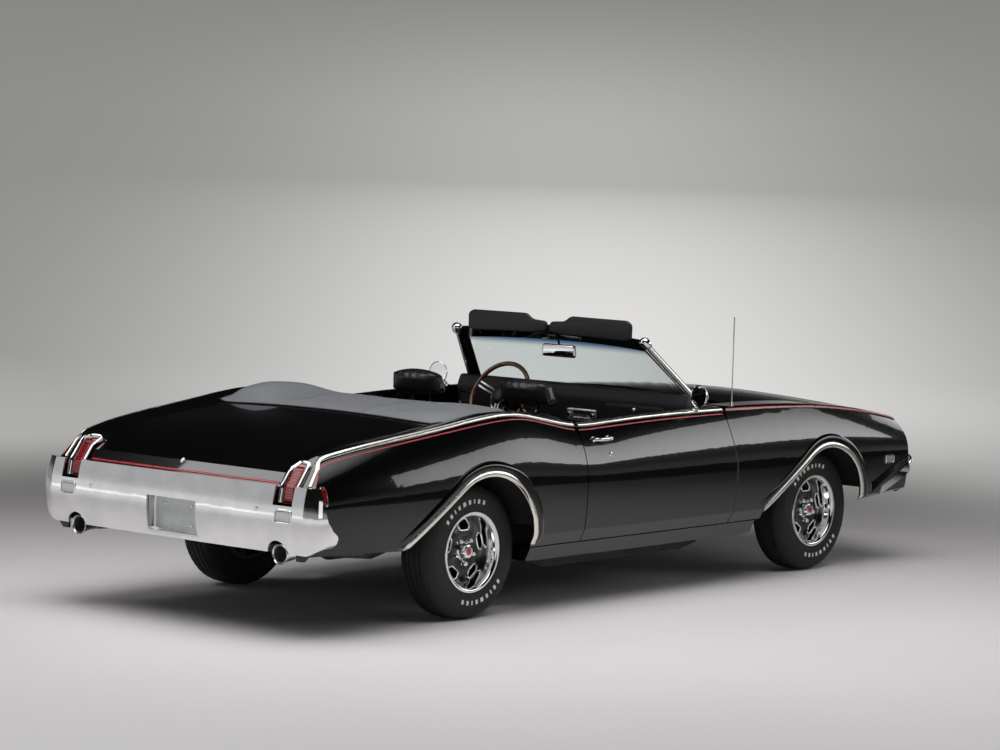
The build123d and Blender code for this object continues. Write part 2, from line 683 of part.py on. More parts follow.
def rear_bumper():
    """Full-width rear bumper: lamp notches, plate recess with its holes, exhaust cut-outs."""
    low, high = REAR_BUMPER_Z
    blade = bumper(REAR_BLADE, BUMPER_CORNER, low, high, BUMPER_BULGE, BUMPER_THICK)
    notch = box(X_REAR - 50, TAIL_X + 20, -LAMP_OUT - 6, -LAMP_IN + 6, LAMP_LOW - 6, high + 50)
    pipe = rod((X_REAR - 50, -EXHAUST_Y, low - 8), (TAIL_X + 20, -EXHAUST_Y, low - 8), EXHAUST_NOTCH)
    tip = profile([(TAIL_X + dx, z) for dx, z in BUMPER_END], -1200, -600)
    heel = extrude(make_face(Polyline(*[(X_REAR - 60, -y, z) for y, z in BUMPER_HEEL], close=True)), 300, dir=(1, 0, 0))
    for cut in (notch, pipe, tip, heel):
        blade = blade - cut - mirrored(cut)
    half, z0, z1 = PLATE_HALF, PLATE_Z[0], PLATE_Z[1]
    back = X_REAR + PLATE_DEPTH
    pan = box(X_REAR + 16, back + 10, -half - 10, half + 10, z0 - 10, z1 + 10)
    space = box(X_REAR - 60, back, -half, half, z0, z1)
    blade = blade - space + (pan - space)
    for y in (-PLATE_HOLE_Y, PLATE_HOLE_Y):
        blade -= rod((X_REAR, y, PLATE_HOLE_Z), (back + 40, y, PLATE_HOLE_Z), PLATE_HOLE_RADIUS)
    brace = box(X_REAR + BUMPER_THICK + 5, TAIL_X + 60, -500, -440, 470, 540) - body_ends(0.0)
    blade = blade + brace + mirrored(brace)
    return largest(blade)


def front_bumper():
    """Front bumper that wraps under the nose."""
    low, high = FRONT_BUMPER_Z
    blade = bumper(FRONT_BLADE, BUMPER_CORNER, low, high, BUMPER_BULGE, BUMPER_THICK)
    slope = profile([(fa(400), low + 26), (fa(880), high + 6), (fa(400), high + 60)], -1200, -780)
    chin = extrude(make_face(Polyline(*[(fa(780), -y, z) for y, z in BUMPER_CHIN], close=True)), 400, dir=(1, 0, 0))
    under = profile([(fa(400), low - 22), (fa(880), high - 42), (fa(880), 300), (fa(400), 300)], -1200, -780)
    for cut in (slope, chin, under):
        blade = blade - cut - mirrored(cut)
    brace = box(fa(800), -X_REAR - BUMPER_BULGE + 3, -450, -390, 430, 500) - body_ends(0.0)
    brace = max(brace.solids(), key=lambda piece: piece.center().X)
    return largest(blade + brace + mirrored(brace))


# Wheels, built at the origin with the outer side towards -Y


def ring(points):
    """Solid turned about Y from (radius, out) points; out is towards -Y."""
    face = make_face(Polyline(*[(r, -o, 0) for r, o in points], close=True))
    return revolve(face, Axis.Y)


def tyre():
    """Plain tyre, without tread."""
    half = TYRE_WIDTH / 2
    crown = TYRE_RADIUS
    return ring([
        (RIM_RADIUS, -86), (RIM_RADIUS + 12.5, -86), (RIM_RADIUS + 16, -94), (RIM_RADIUS + 62, -half), (crown - 40, -half + 3),
        (crown - 12, -half + 18), (crown, -half + 42), (crown, half - 42), (crown - 12, half - 18),
        (crown - 40, half - 3), (RIM_RADIUS + 62, half), (RIM_RADIUS + 16, 94), (RIM_RADIUS + 12.5, 86),
        (RIM_RADIUS, 86),
    ]).solid()


def wheel():
    """Five-window wheel with barrel, dish, hub and drum in one."""
    barrel = ring([
        (RIM_RADIUS, -86), (RIM_RADIUS + 12, -86), (RIM_RADIUS + 12, -92), (RIM_RADIUS - 6, -92),
        (RIM_RADIUS - 12, -60), (RIM_RADIUS - 24, -40), (RIM_RADIUS - 24, 30), (RIM_RADIUS - 12, 62),
        (RIM_RADIUS - 6, 92), (RIM_RADIUS + 12, 92), (RIM_RADIUS + 12, 86), (RIM_RADIUS, 86),
    ])
    dish = ring([
        (0, 22), (60, 22), (96, 42), (RIM_RADIUS - 22, 24), (RIM_RADIUS - 22, 10),
        (96, 30), (66, 10), (0, 10),
    ])
    hub = ring([(0, -HUB_FACE), (46, -HUB_FACE), (46, 12), (42, 52), (34, 60), (0, 60)])
    drum = ring([(40, -HUB_FACE), (128, -HUB_FACE), (132, -8), (120, 4), (60, 12), (40, 12)])
    solid = barrel + dish + hub + drum
    for i in range(5):
        window = Pos(0, 0, 0) * extrude(Plane.XZ.offset(-60) * make_face(Polyline(
            (-30, 108), (30, 108), (40, 126), (24, 150), (-24, 150), (-40, 126), close=True)), 100)
        solid -= Rot(0, 72 * i, 0) * (window - ring([(0, 6), (170, 6), (170, -100), (0, -100)]))
    solid -= tube_y(0, 0, HUB_FACE + 20, -40, SPINDLE_RADIUS + RUNNING)
    return largest(solid)


# Nose


def nose_x(y):
    """X of the nose's upright face at a place across the car."""
    return fa(818.0 + 120.0 - 134.0 * (y / 1000.0) ** 2)


def nose_region(grow):
    """The part of the front end that the nose panel takes."""
    return box(mid(HOOD_FRONT) + SHUT_GAP - grow, fa(1300), -NOSE_HALF - grow, NOSE_HALF + grow, 430 - grow, 1200)


def nose_panel():
    """Panel ahead of the hood with the lamp holes and the grille opening."""
    panel = SHELL & nose_region(0.0)
    for y in HEADLAMP_Y:
        for side in (-1, 1):
            panel -= rod((fa(600), side * y, HEADLAMP_Z), (fa(1100), side * y, HEADLAMP_Z), HEADLAMP_RADIUS)
    for side in (-1, 1):
        panel -= box(fa(600), fa(1100), side * 30, side * GRILLE_HALF, GRILLE_Z[0], GRILLE_Z[1])
    return largest(panel)


def headlamps():
    """Four round lamps that fill the nose's holes."""
    lamps = []
    for y in HEADLAMP_Y:
        for side in (-1, 1):
            x = nose_x(y)
            lamps.append(rod((x - 75, side * y, HEADLAMP_Z), (x - 6, side * y, HEADLAMP_Z),
                             HEADLAMP_RADIUS).solid())
    return Compound(lamps)


def grille():
    """Two dark grille halves of upright backs with cross bars."""
    halves = []
    for side in (-1, 1):
        x = nose_x(GRILLE_HALF) - 62
        y0, y1 = sorted((side * 30, side * GRILLE_HALF))
        z0, z1 = GRILLE_Z
        half = box(x, x + 8, y0, y1, z0, z1)
        for i in range(5):
            z = z0 + 3 + i * (z1 - z0 - 12) / 4
            half += box(x + 4, x + 36, y0, y1, z, z + 6)
        half += box(x, x + 90, y0, y0 + 6, z0, z1) & OUTER
        half += box(x, x + 90, y1 - 6, y1, z0, z1) & OUTER
        halves.append(largest(half))
    return Compound(halves)


def tail_panel():
    """Panel across the tail below the lid, behind the bumper."""
    panel = SHELL & plan(lid_outline(SHUT_GAP), 440, LID_LOW - SHUT_GAP)
    panel -= box(ra(-1000), ra(-100), -BIG, BIG, 0, 2000)
    grow = SHUT_GAP + BUMPER_THICK
    panel -= box(ra(-1400), ra(-1000), -PLATE_HALF - grow, PLATE_HALF + grow, PLATE_Z[0] - grow, PLATE_Z[1] + grow)
    return largest(panel)


def pad(x0, x1, z0, z1, height):
    """Shallow pad that lies on the right flank between two heights and two stations."""
    return (box(x0, x1, -1200, -700, z0, z1) & body_solid(-height)) - body_solid(0.0)


def marker_lamps():
    """Side markers and reversing lamps."""
    lamps = [largest(pad(*MARKER_FRONT, 6.0)), largest(pad(*MARKER_REAR, 6.0))]
    low, high = REAR_BUMPER_Z
    outer = bumper(REAR_BLADE, BUMPER_CORNER, low, high, BUMPER_BULGE + 7.0, 30.0)
    fill = bumper(REAR_BLADE, BUMPER_CORNER, low, high, BUMPER_BULGE, 34.0)
    lamp = box(X_REAR - 60, TAIL_X, -REVERSE_Y[1], -REVERSE_Y[0], REVERSE_Z[0], REVERSE_Z[1]) & outer
    lamp -= fill
    lamps.append(largest(lamp))
    return Compound(lamps + [mirrored(lamp).solid() for lamp in lamps])


# Cabin


def steer_axis():
    """Centre of the steering wheel and the direction down its column."""
    centre = Vector(mid(STEER_CENTRE[0]), STEER_CENTRE[1], STEER_CENTRE[2])
    down = Vector(math.cos(math.radians(STEER_RAKE)), 0, -math.sin(math.radians(STEER_RAKE)))
    return centre, down


def column_end():
    """Point where the column meets the firewall."""
    centre, down = steer_axis()
    return centre + down * ((mid(600) - centre.X) / down.X)


def steering_column():
    """Column from the firewall to the wheel, with the shaft that carries the wheel."""
    centre, down = steer_axis()
    end = column_end() + down * 40
    jacket = rod(centre + down * 60, end, COLUMN_RADIUS)
    shaft = rod(centre - down * 14, centre + down * 80, COLUMN_SHAFT)
    return largest((jacket + shaft) & box(mid(-200), mid(600), -BIG, BIG, 0, 2000))


def steering_wheel():
    """Rim, three spokes and hub."""
    centre, down = steer_axis()
    plane = Plane(origin=centre, z_dir=-down, x_dir=(0, 1, 0))
    wheel_rim = plane * Torus(STEER_RADIUS - 13, 13)
    hub = plane * Pos(0, 0, -28) * extrude(Circle(44), 50)
    solid = hub + wheel_rim
    for angle in (90, 200, 340):
        bar = Pos((STEER_RADIUS - 13) / 2 + 12, 0, 0) * Box(STEER_RADIUS - 32, 34, 8)
        solid += plane * (Rot(0, 0, angle) * bar)
    solid -= rod(centre - down * 14, centre + down * 100, COLUMN_SHAFT + RUNNING)
    return largest(solid)


def dashboard():
    """Padded dash across the cabin, with the column through it."""
    points = [(598, 720), (420, 690), (305, 760), (290, 950), (318, 1012), (356, 1012), (416, 948),
              (428, 912), (598, 912)]
    shape = profile([(mid(x), z) for x, z in points], -DASH_HALF, DASH_HALF)
    for side in (-1, 1):
        shape -= box(mid(545), mid(700), side * 680, side * 900, 600, 1100)
    centre, down = steer_axis()
    shape -= rod(centre, column_end() + down * 60, COLUMN_RADIUS)
    return largest(shape)


def front_seat(side):
    """Bucket seat with its riser, back and headrest."""
    y = side * CABIN_SEAT_Y
    half = SEAT_WIDTH / 2
    cushion = [(150, 425), (150, 545), (-300, 500), (-330, 425)]
    back = [(-250, 500), (-330, 425), (-412, 425), (-520, 930), (-415, 950)]
    shape = profile([(mid(x), z) for x, z in cushion], y - half, y + half)
    shape += profile([(mid(x), z) for x, z in back], y - half + 10, y + half - 10)
    shape += profile([(mid(x), z) for x, z in ((-420, 985), (-520, 970), (-545, 1085), (-450, 1090))],
                     y - 160, y + 160)
    for dy in (-70, 70):
        shape += rod((mid(-465), y + dy, 920), (mid(-478), y + dy, 1000), 7)
    shape += box(mid(-320), mid(120), y - 180, y + 180, FLOOR_Z + SHEET, 428)
    return largest(shape)


def rear_seat():
    """Bench behind the front seats."""
    z = TRUNK_FLOOR_Z + SHEET
    cushion = [(-850, z), (-850, 660), (-1200, 640), (-1316, z)]
    back = [(-1180, 620), (-1316, z), (-1316, 925), (-1265, 930)]
    shape = profile([(mid(x), zz) for x, zz in cushion], -600, 600)
    shape += profile([(mid(x), zz) for x, zz in back], -600, 600)
    return largest(shape)


def console():
    """Console on the tunnel with the shift lever."""
    points = [(-270, 420), (-270, 560), (150, 500), (360, 640), (360, 420)]
    shape = profile([(mid(x), z) for x, z in points], -95, 95)
    shape += rod((mid(90), 0, 480), (mid(60), 0, 640), 8)
    shape += Pos(mid(58), 0, 650) * Sphere(22)
    return largest(shape)


def rear_side_trim():
    """Trim beside the rear seat, up to the quarter's top."""
    trim = INNER & box(mid(-1310), mid(DOOR_REAR) - 18, -BOOT_HALF - 24, -BOOT_HALF + 6, DOOR_BOTTOM - SHUT_GAP, 1100)
    trim -= arch(X_RA, ARCH_REAR_RISE, -1000, -300, 27.0)
    trim = largest(trim)
    return both(trim)


def top_boot():
    """Cover over the folded top, on the deck and the quarters."""
    points = [(BOOT_FRONT, 860), (BOOT_FRONT, BOOT_TOP - 28), (BOOT_FRONT - 70, BOOT_TOP - 6),
              (-1350, BOOT_TOP), (-1560, BOOT_TOP - 14), (BOOT_REAR, 985), (BOOT_REAR, 860)]
    shape = profile([(mid(x), z) for x, z in points], -BOOT_HALF - 40, BOOT_HALF + 40)
    half = BOOT_HALF + 28
    right = [(BOOT_FRONT, half), (-1400, half - 5), (-1610, BOOT_HALF - 17), (BOOT_REAR, BOOT_HALF - 190)]
    corners = [(mid(x), -y) for x, y in right] + [(mid(x), y) for x, y in reversed(right)]
    return largest((shape & plan(corners, 800, 1200)) - OUTER)


VISOR_OUTLINE = ((14, 1304), (14, 1352), (112, 1356), (146, 1382), (540, 1376), (560, 1356), (560, 1298))


def sun_visors():
    """Two visors swung up over the header."""
    visors = []
    for side in (-1, 1):
        outline = [(mid(118), side * y, z) for y, z in VISOR_OUTLINE]
        slab = extrude(make_face(Polyline(*outline, close=True)), 14, dir=(1, 0, 0))
        pin = rod((mid(125), side * 350, 1302), (mid(190), side * 350, 1302), 7)
        visors.append(largest((slab + pin) - WINDSCREEN_RING))
    return Compound(visors)


def interior_mirror():
    """Mirror on a stalk under the header."""
    head = box(mid(206), mid(226), -115, 115, 1166, 1222)
    stalk = rod((mid(216), 0, 1200), (mid(176), 0, 1300), 7)
    return largest((head + stalk) - WINDSCREEN_RING)


# Running gear


def rod_chain(points, radius):
    """Pipe of straight lengths with round knees."""
    solid = rod(points[0], points[1], radius)
    for start, end in zip(points[1:-1], points[2:]):
        solid += Pos(*start) * Sphere(radius)
        solid += rod(start, end, radius)
    return solid


def engine():
    """Engine as one plain block with its sump."""
    block = box(mid(800), mid(1390), -215, 215, 420, 820)
    sump = box(mid(830), fa(108), -130, 130, 320, 430)
    return largest(block + sump)


def drivetrain():
    """Gearbox behind the engine and the shaft to the rear axle."""
    case = rod((mid(800), 0, 306), (mid(170), 0, 306), GEARBOX_RADIUS)
    case += box(mid(700), mid(800), -95, 95, 306, 560)
    shaft = rod((mid(180), 0, 306), (ra(138), 0, TYRE_RADIUS), 36)
    return largest((case + shaft) - REAR_AXLE)


def rear_axle():
    """Axle housing with the differential and the two stubs."""
    solid = tube_y(X_RA, TYRE_RADIUS, -610, 610, 38)
    solid += rod((ra(-120), 0, TYRE_RADIUS), (ra(140), 0, TYRE_RADIUS), 118)
    end = HALF_TRACK + 38
    solid += tube_y(X_RA, TYRE_RADIUS, -end, end, SPINDLE_RADIUS)
    return largest(solid)


def front_suspension():
    """Lower and upper arms on each side with the pins that carry the knuckles."""
    arms = []
    low, high = TYRE_RADIUS - KINGPIN_HALF, TYRE_RADIUS + KINGPIN_HALF

    def plate(y, half, z0, z1):
        return Wire(Polyline((X_FA - half, y, z0), (X_FA + half, y, z0), (X_FA + half, y, z1),
                             (X_FA - half, y, z1), close=True).edges())

    lower = Solid.make_loft([plate(-385, 100, 262, 286), plate(-KINGPIN_Y + 34, 26, low - 26, low - 3)], True)
    lower += box(X_FA - 26, X_FA + 26, -KINGPIN_Y - 22, -KINGPIN_Y + 34, low - 26, low - 3)
    lower += post(X_FA, -KINGPIN_Y, low - 15, low + 24, KINGPIN_PIN)
    upper = Solid.make_loft([plate(-386, 60, high + 2, high + 24),
                             plate(-KINGPIN_Y - 22, 26, high + 3, high + 25)], True)
    upper += box(X_FA - 45, X_FA + 45, -453, -387, 380, high + 20)
    upper += post(X_FA, -KINGPIN_Y, high - 24, high + 15, KINGPIN_PIN)
    upper -= RAIL
    arms.append(largest(lower))
    arms.append(largest(upper))
    return Compound(arms + [mirrored(arm).solid() for arm in arms])


def knuckle_right():
    """Right knuckle: upright, spindle and steering arm."""
    low, high = TYRE_RADIUS - KINGPIN_HALF, TYRE_RADIUS + KINGPIN_HALF
    solid = post(X_FA, -KINGPIN_Y, low, high, 24)
    solid += tube_y(X_FA, TYRE_RADIUS, -KINGPIN_Y, -HALF_TRACK - 38, SPINDLE_RADIUS)
    solid += box(X_FA - 128, X_FA, -KINGPIN_Y - 8, -KINGPIN_Y + 8, 262, 288)
    solid -= post(X_FA, -KINGPIN_Y, low - 10, low + 25, KINGPIN_PIN + RUNNING)
    solid -= post(X_FA, -KINGPIN_Y, high - 25, high + 10, KINGPIN_PIN + RUNNING)
    return largest(solid)


def rear_suspension():
    """Springs on the axle under the rails and the lower trailing arms."""
    spring = post(X_RA, -520, TYRE_RADIUS, 460, 52) - REAR_AXLE - RAIL
    arm = rod((X_RA, -440, TYRE_RADIUS - 20), (mid(-905), -592, 300), 17) - REAR_AXLE - RAIL
    pieces = [largest(spring), largest(arm)]
    return Compound(pieces + [mirrored(piece).solid() for piece in pieces])


def fuel_tank():
    """Tank under the trunk floor."""
    tank = box(ra(-940), ra(-470), -470, 470, TANK_LOW, TRUNK_FLOOR_Z)
    return tank.solid()


def exhaust():
    """Two exhausts: downpipe, muffler, tailpipe over the axle and flared tip."""
    points = [(mid(840), -236, 440), (mid(760), -300, 260), (mid(-80), -400, 236), (mid(-760), -400, 236),
              (ra(330), -380, 300), (ra(150), -420, 406), (ra(-70), -430, 428), (ra(-150), -448, 400),
              (ra(-280), -510, 336), (ra(-460), -600, 336), (ra(-880), -668, 388), (TAIL_X + 20, -EXHAUST_Y, EXHAUST_Z)]
    pipe = rod_chain(points, PIPE_RADIUS)
    pipe += rod((mid(-640), -400, 224), (mid(-90), -400, 224), 64)
    start, end = Vector(TAIL_X + 70, -EXHAUST_Y, EXHAUST_Z), Vector(TAIL_X - 6, -EXHAUST_Y, EXHAUST_Z)
    flare = Solid.make_cone(PIPE_RADIUS, PIPE_RADIUS + 16, 76, Plane(origin=start, z_dir=end - start))
    bore = Solid.make_cone(PIPE_RADIUS - 4, PIPE_RADIUS + 12, 77, Plane(origin=start, z_dir=end - start))
    pipe = (pipe - rod((TAIL_X + 70, -EXHAUST_Y, EXHAUST_Z), (TAIL_X - 40, -EXHAUST_Y, EXHAUST_Z), 60))
    pipe = pipe + (flare - bore)
    hanger = box(TAIL_X + 96, TAIL_X + 112, -EXHAUST_Y - 5, -EXHAUST_Y + 5, EXHAUST_Z, TRUNK_FLOOR_Z)
    pipe += hanger
    return both(largest(pipe - ENGINE))


def radiator():
    """Radiator on the front cross piece."""
    return box(fa(706), fa(764), -350, 350, 420, 790).solid()


def antenna():
    """Whip on the right fender."""
    x, y = mid(ANTENNA_X), -ANTENNA_Y
    whip = post(x, y, 900, ANTENNA_TOP, 3.0) + post(x, y, 900, 962, 9.0)
    return largest(whip - OUTER)


def door_fittings_right():
    """Handle and mirror of the right door."""
    x0, x1, z0, z1 = mid(-606), mid(-476), 826, 846
    bar = pad(x0, x1, z0, z1, 30.0) - body_solid(-20.0)
    bar += pad(x0, x0 + 24, z0, z1, 21.0)
    bar += pad(x1 - 24, x1, z0, z1, 21.0)
    head = rod((mid(MIRROR_X) - 8, -MIRROR_Y, MIRROR_Z), (mid(MIRROR_X) + 36, -MIRROR_Y, MIRROR_Z), 60)
    head += post(mid(MIRROR_X) + 14, -MIRROR_Y + 24, 880, MIRROR_Z, 9) - OUTER
    return Compound([largest(bar), largest(head)])


def placed(shape, x, y):
    """A wheel piece moved to its place."""
    return Pos(x, y, TYRE_RADIUS) * shape


WINDSCREEN_RING = windscreen_frame()
RAIL = rail_right()
REAR_AXLE = rear_axle()
ENGINE = engine()


def build():
    """Make every node by name.

    Returns:
        Shapes by node name.
    """
    nodes = {
        "frame_rails": both(RAIL),
        "crossmembers": crossmembers(),
        "floor_pan": floor_pan(),
        "firewall_cowl": firewall_cowl(),
        "trunk_floor": trunk_floor(),
        "rocker_panels": both(rocker_right()),
        "deck_panel": deck_panel(),
        "nose_panel": nose_panel(),
        "tail_panel": tail_panel(),
        "hood": hood(),
        "trunk_lid": trunk_lid(),
        "front_bumper": front_bumper(),
        "rear_bumper": rear_bumper(),
        "grille": grille(),
        "headlamps": headlamps(),
        "tail_lamps": both(tail_lamp_right()),
        "marker_lamps": marker_lamps(),
        "antenna": antenna(),
        "windscreen_frame": WINDSCREEN_RING,
        "windscreen": windscreen(),
        "sun_visors": sun_visors(),
        "interior_mirror": interior_mirror(),
        "dashboard": dashboard(),
        "steering_column": steering_column(),
        "steering_wheel": steering_wheel(),
        "seat_front_left": front_seat(1),
        "seat_front_right": front_seat(-1),
        "rear_seat": rear_seat(),
        "console": console(),
        "rear_side_trim": rear_side_trim(),
        "top_boot": top_boot(),
        "engine": ENGINE,
        "drivetrain": drivetrain(),
        "rear_axle": REAR_AXLE,
        "front_suspension": front_suspension(),
        "rear_suspension": rear_suspension(),
        "fuel_tank": fuel_tank(),
        "exhaust": exhaust(),
        "radiator": radiator(),
    }
    houses = [wheelhouse(X_FA, ARCH_FRONT_RISE, 480, 26.0, False), wheelhouse(X_RA, ARCH_REAR_RISE, 622, 14.0, True)]
    nodes["wheelhouses"] = Compound(houses + [mirrored(house).solid() for house in houses])
    for name, make in (("fender", fender_right), ("quarter", quarter_right), ("door", door_right),
                       ("door_fittings", door_fittings_right), ("knuckle", knuckle_right)):
        shape = make()
        nodes[name + "_right"] = shape
        nodes[name + "_left"] = mirrored(shape)
    rim, rubber = wheel(), tyre()
    for end, x in (("front", X_FA), ("rear", X_RA)):
        for name, shape in (("wheel", rim), ("tyre", rubber)):
            right = placed(shape, x, -HALF_TRACK)
            nodes[f"{name}_{end}_right"] = right
            nodes[f"{name}_{end}_left"] = mirrored(right)
    return nodes


def main():
    """Write one STEP file for each node."""
    os.makedirs("parts", exist_ok=True)
    for name, shape in build().items():
        export_step(shape, os.path.join("parts", name + ".step"))


if __name__ == "__main__":
    main()
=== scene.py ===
"""Dress the open two-door car: finishes, brightwork, wheels, cabin and soft goods around its CAD solids."""
import json
import logging
from dataclasses import dataclass, field
from enum import Enum
from math import acos, atan2, copysign, cos, exp, hypot, pi, radians, sin
from typing import Any, ClassVar, Iterable, Sequence

import bmesh
import bpy
import numpy as np
from bpy.types import Material, Mesh, Node, NodeSocket, NodeTree, Object, World
from mathutils import Matrix, Vector
from mathutils.bvhtree import BVHTree

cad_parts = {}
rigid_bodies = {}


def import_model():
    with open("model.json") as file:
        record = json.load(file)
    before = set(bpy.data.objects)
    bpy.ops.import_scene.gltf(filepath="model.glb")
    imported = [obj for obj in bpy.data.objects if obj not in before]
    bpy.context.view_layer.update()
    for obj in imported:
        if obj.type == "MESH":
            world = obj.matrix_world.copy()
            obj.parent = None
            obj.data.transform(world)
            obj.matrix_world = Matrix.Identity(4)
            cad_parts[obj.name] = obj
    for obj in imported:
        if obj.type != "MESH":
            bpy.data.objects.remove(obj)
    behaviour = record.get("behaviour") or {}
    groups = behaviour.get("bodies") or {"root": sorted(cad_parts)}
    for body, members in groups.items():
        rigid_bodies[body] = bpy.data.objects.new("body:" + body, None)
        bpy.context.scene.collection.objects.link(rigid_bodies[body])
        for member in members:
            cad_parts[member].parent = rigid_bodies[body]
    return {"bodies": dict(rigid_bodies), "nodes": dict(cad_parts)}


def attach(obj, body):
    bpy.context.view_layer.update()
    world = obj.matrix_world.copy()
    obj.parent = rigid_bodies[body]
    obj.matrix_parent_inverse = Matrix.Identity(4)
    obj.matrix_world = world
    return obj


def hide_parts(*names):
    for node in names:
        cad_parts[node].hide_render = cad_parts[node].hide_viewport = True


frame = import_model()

LOG = logging.getLogger("convertible")
Point = Sequence[float]
Pairs = Sequence[tuple[float, float]]
X_REAR_AXLE, X_FRONT_AXLE, HALF_TRACK, TYRE_RADIUS, WIDEST = -1.364, 1.481, 0.7495, 0.33, 0.9662


def linear(colour: str) -> tuple[float, float, float, float]:
    """Linear RGBA of an sRGB hex colour."""
    parts = [int(colour[i:i + 2], 16) / 255 for i in (1, 3, 5)]
    return tuple(c / 12.92 if c <= 0.04045 else ((c + 0.055) / 1.055) ** 2.4 for c in parts) + (1.0,)


def node(tree: NodeTree, kind: str, inputs: dict | None = None, **settings: Any) -> Node:
    """Add a shader node with its settings and links.

    Args:
        tree: The node tree it goes into.
        kind: Shader node type without its ShaderNode prefix.
        inputs: Input name or number to a value, or to the socket that feeds it.
        settings: Attributes of the node.

    Returns:
        The new node.
    """
    made = tree.nodes.new("ShaderNode" + kind)
    for name, value in settings.items():
        setattr(made, name, value)
    for name, value in (inputs or {}).items():
        if isinstance(value, NodeSocket):
            tree.links.new(value, made.inputs[name])
        else:
            made.inputs[name].default_value = value
    return made


def chain(tree: NodeTree, made: dict, rows: Iterable[tuple]) -> dict:
    """Add a run of nodes that feed each other by name.

    Args:
        tree: The node tree they go into.
        made: Output sockets so far, by name.
        rows: For each node its name, what it does, and its input values, where a word stands for an earlier output.
            A plain operation is on numbers, Vector. is before one on vectors and Range. before a mapped range.

    Returns:
        The output sockets, with the new ones.
    """
    kinds = {"": ("Math", "operation", 0), "Vector": ("VectorMath", "operation", 1),
             "Range": ("MapRange", "interpolation_type", 0)}
    for name, how, *values in rows:
        word, _, choice = how.rpartition(".")
        kind, setting, output = kinds[word]
        fed = {i: made[v] if isinstance(v, str) else v for i, v in enumerate(values)}
        made[name] = node(tree, kind, fed, **{setting: choice}).outputs[output]
    return made


class Grain(Enum):
    """How a surface varies from place to place."""

    MOTTLE = "soft patches of handling and dust"
    HIDE = "embossed pebble grain"
    BRUSH = "fine lines along one way"
    TIMBER = "long growth rings"
    CAST = "sand-cast pits"
    PEEL = "faint ripple of sprayed lacquer"


@dataclass(frozen=True)
class Finish:
    """One surface finish.

    Attributes:
        name: What the material is.
        colour: Main sRGB colour.
        shade: Second sRGB colour, which the grain mixes in.
        rough: Middle roughness.
        grain: Kind of variation.
        size_mm: Size of one grain.
        relief_mm: Height of the grain.
        spread: How far the roughness varies.
        metallic: 1 for bare metal.
        coat: Clear coat weight.
        slot: Material slot of the record; not used.
        along: Stretch of the grain along X, Y and Z.
        gloss: Specular level under any clear coat.
    """

    name: str
    colour: str
    shade: str
    rough: float
    grain: Grain = Grain.MOTTLE
    size_mm: float = 40.0
    relief_mm: float = 0.0
    spread: float = 0.06
    metallic: float = 0.0
    coat: float = 0.0
    slot: str = "body_paint"
    along: tuple[float, float, float] = (1.0, 1.0, 1.0)
    gloss: float = 0.5

    def pattern(self, tree: NodeTree) -> NodeSocket:
        """The grain as one value from 0 to 1.

        Args:
            tree: Node tree of the material.

        Returns:
            The socket that gives it.
        """
        place = node(tree, "TexCoord")
        stretch = node(tree, "Mapping", {"Vector": place.outputs["Object"], "Scale": self.along})
        scale = 1000.0 / self.size_mm
        if self.grain is Grain.HIDE:
            made = node(tree, "TexVoronoi", {"Vector": stretch.outputs[0], "Scale": scale}, feature="DISTANCE_TO_EDGE")
            return node(tree, "MapRange", {"Value": made.outputs["Distance"], "From Max": 0.35}).outputs[0]
        if self.grain is Grain.TIMBER:
            made = node(tree, "TexWave", {"Vector": stretch.outputs[0], "Scale": scale / 6.3, "Distortion": 7.0,
                                          "Detail": 4.0, "Detail Scale": 1.6}, wave_type="RINGS")
            return made.outputs["Fac"]
        detail = {Grain.BRUSH: 3.0, Grain.CAST: 5.0}.get(self.grain, 4.0)
        made = node(tree, "TexNoise", {"Vector": stretch.outputs[0], "Scale": scale, "Detail": detail})
        return node(tree, "MapRange", {"Value": made.outputs["Fac"], "From Min": 0.3, "From Max": 0.7}).outputs[0]

    def material(self) -> Material:
        """The Blender material of this finish, made once.

        Returns:
            The material.
        """
        found = bpy.data.materials.get(self.name)
        if found:
            return found
        made = bpy.data.materials.new(self.name)
        made.use_nodes = True
        made.diffuse_color = linear(self.colour)
        tree = made.node_tree
        shader = tree.nodes["Principled BSDF"]
        self.dress(tree, shader)
        return made

    def dress(self, tree: NodeTree, shader: Node) -> None:
        """Set the shader and feed it the grain.

        Args:
            tree: Node tree of the material.
            shader: Its Principled shader.
        """
        value = self.pattern(tree)
        blend = node(tree, "Mix", {0: value, 6: linear(self.colour), 7: linear(self.shade)}, data_type="RGBA")
        tree.links.new(blend.outputs[2], shader.inputs["Base Color"])
        band = node(tree, "MapRange", {"Value": value, "To Min": max(0.02, self.rough - self.spread),
                                       "To Max": self.rough + self.spread})
        tree.links.new(band.outputs[0], shader.inputs["Roughness"])
        for name, constant in (("Metallic", self.metallic), ("Specular IOR Level", self.gloss),
                               ("Coat Weight", self.coat), ("Coat Roughness", 0.03)):
            shader.inputs[name].default_value = constant
        if self.relief_mm:
            relief = node(tree, "Bump", {"Height": value, "Distance": self.relief_mm / 1000, "Strength": 1.0})
            tree.links.new(relief.outputs[0], shader.inputs["Normal"])


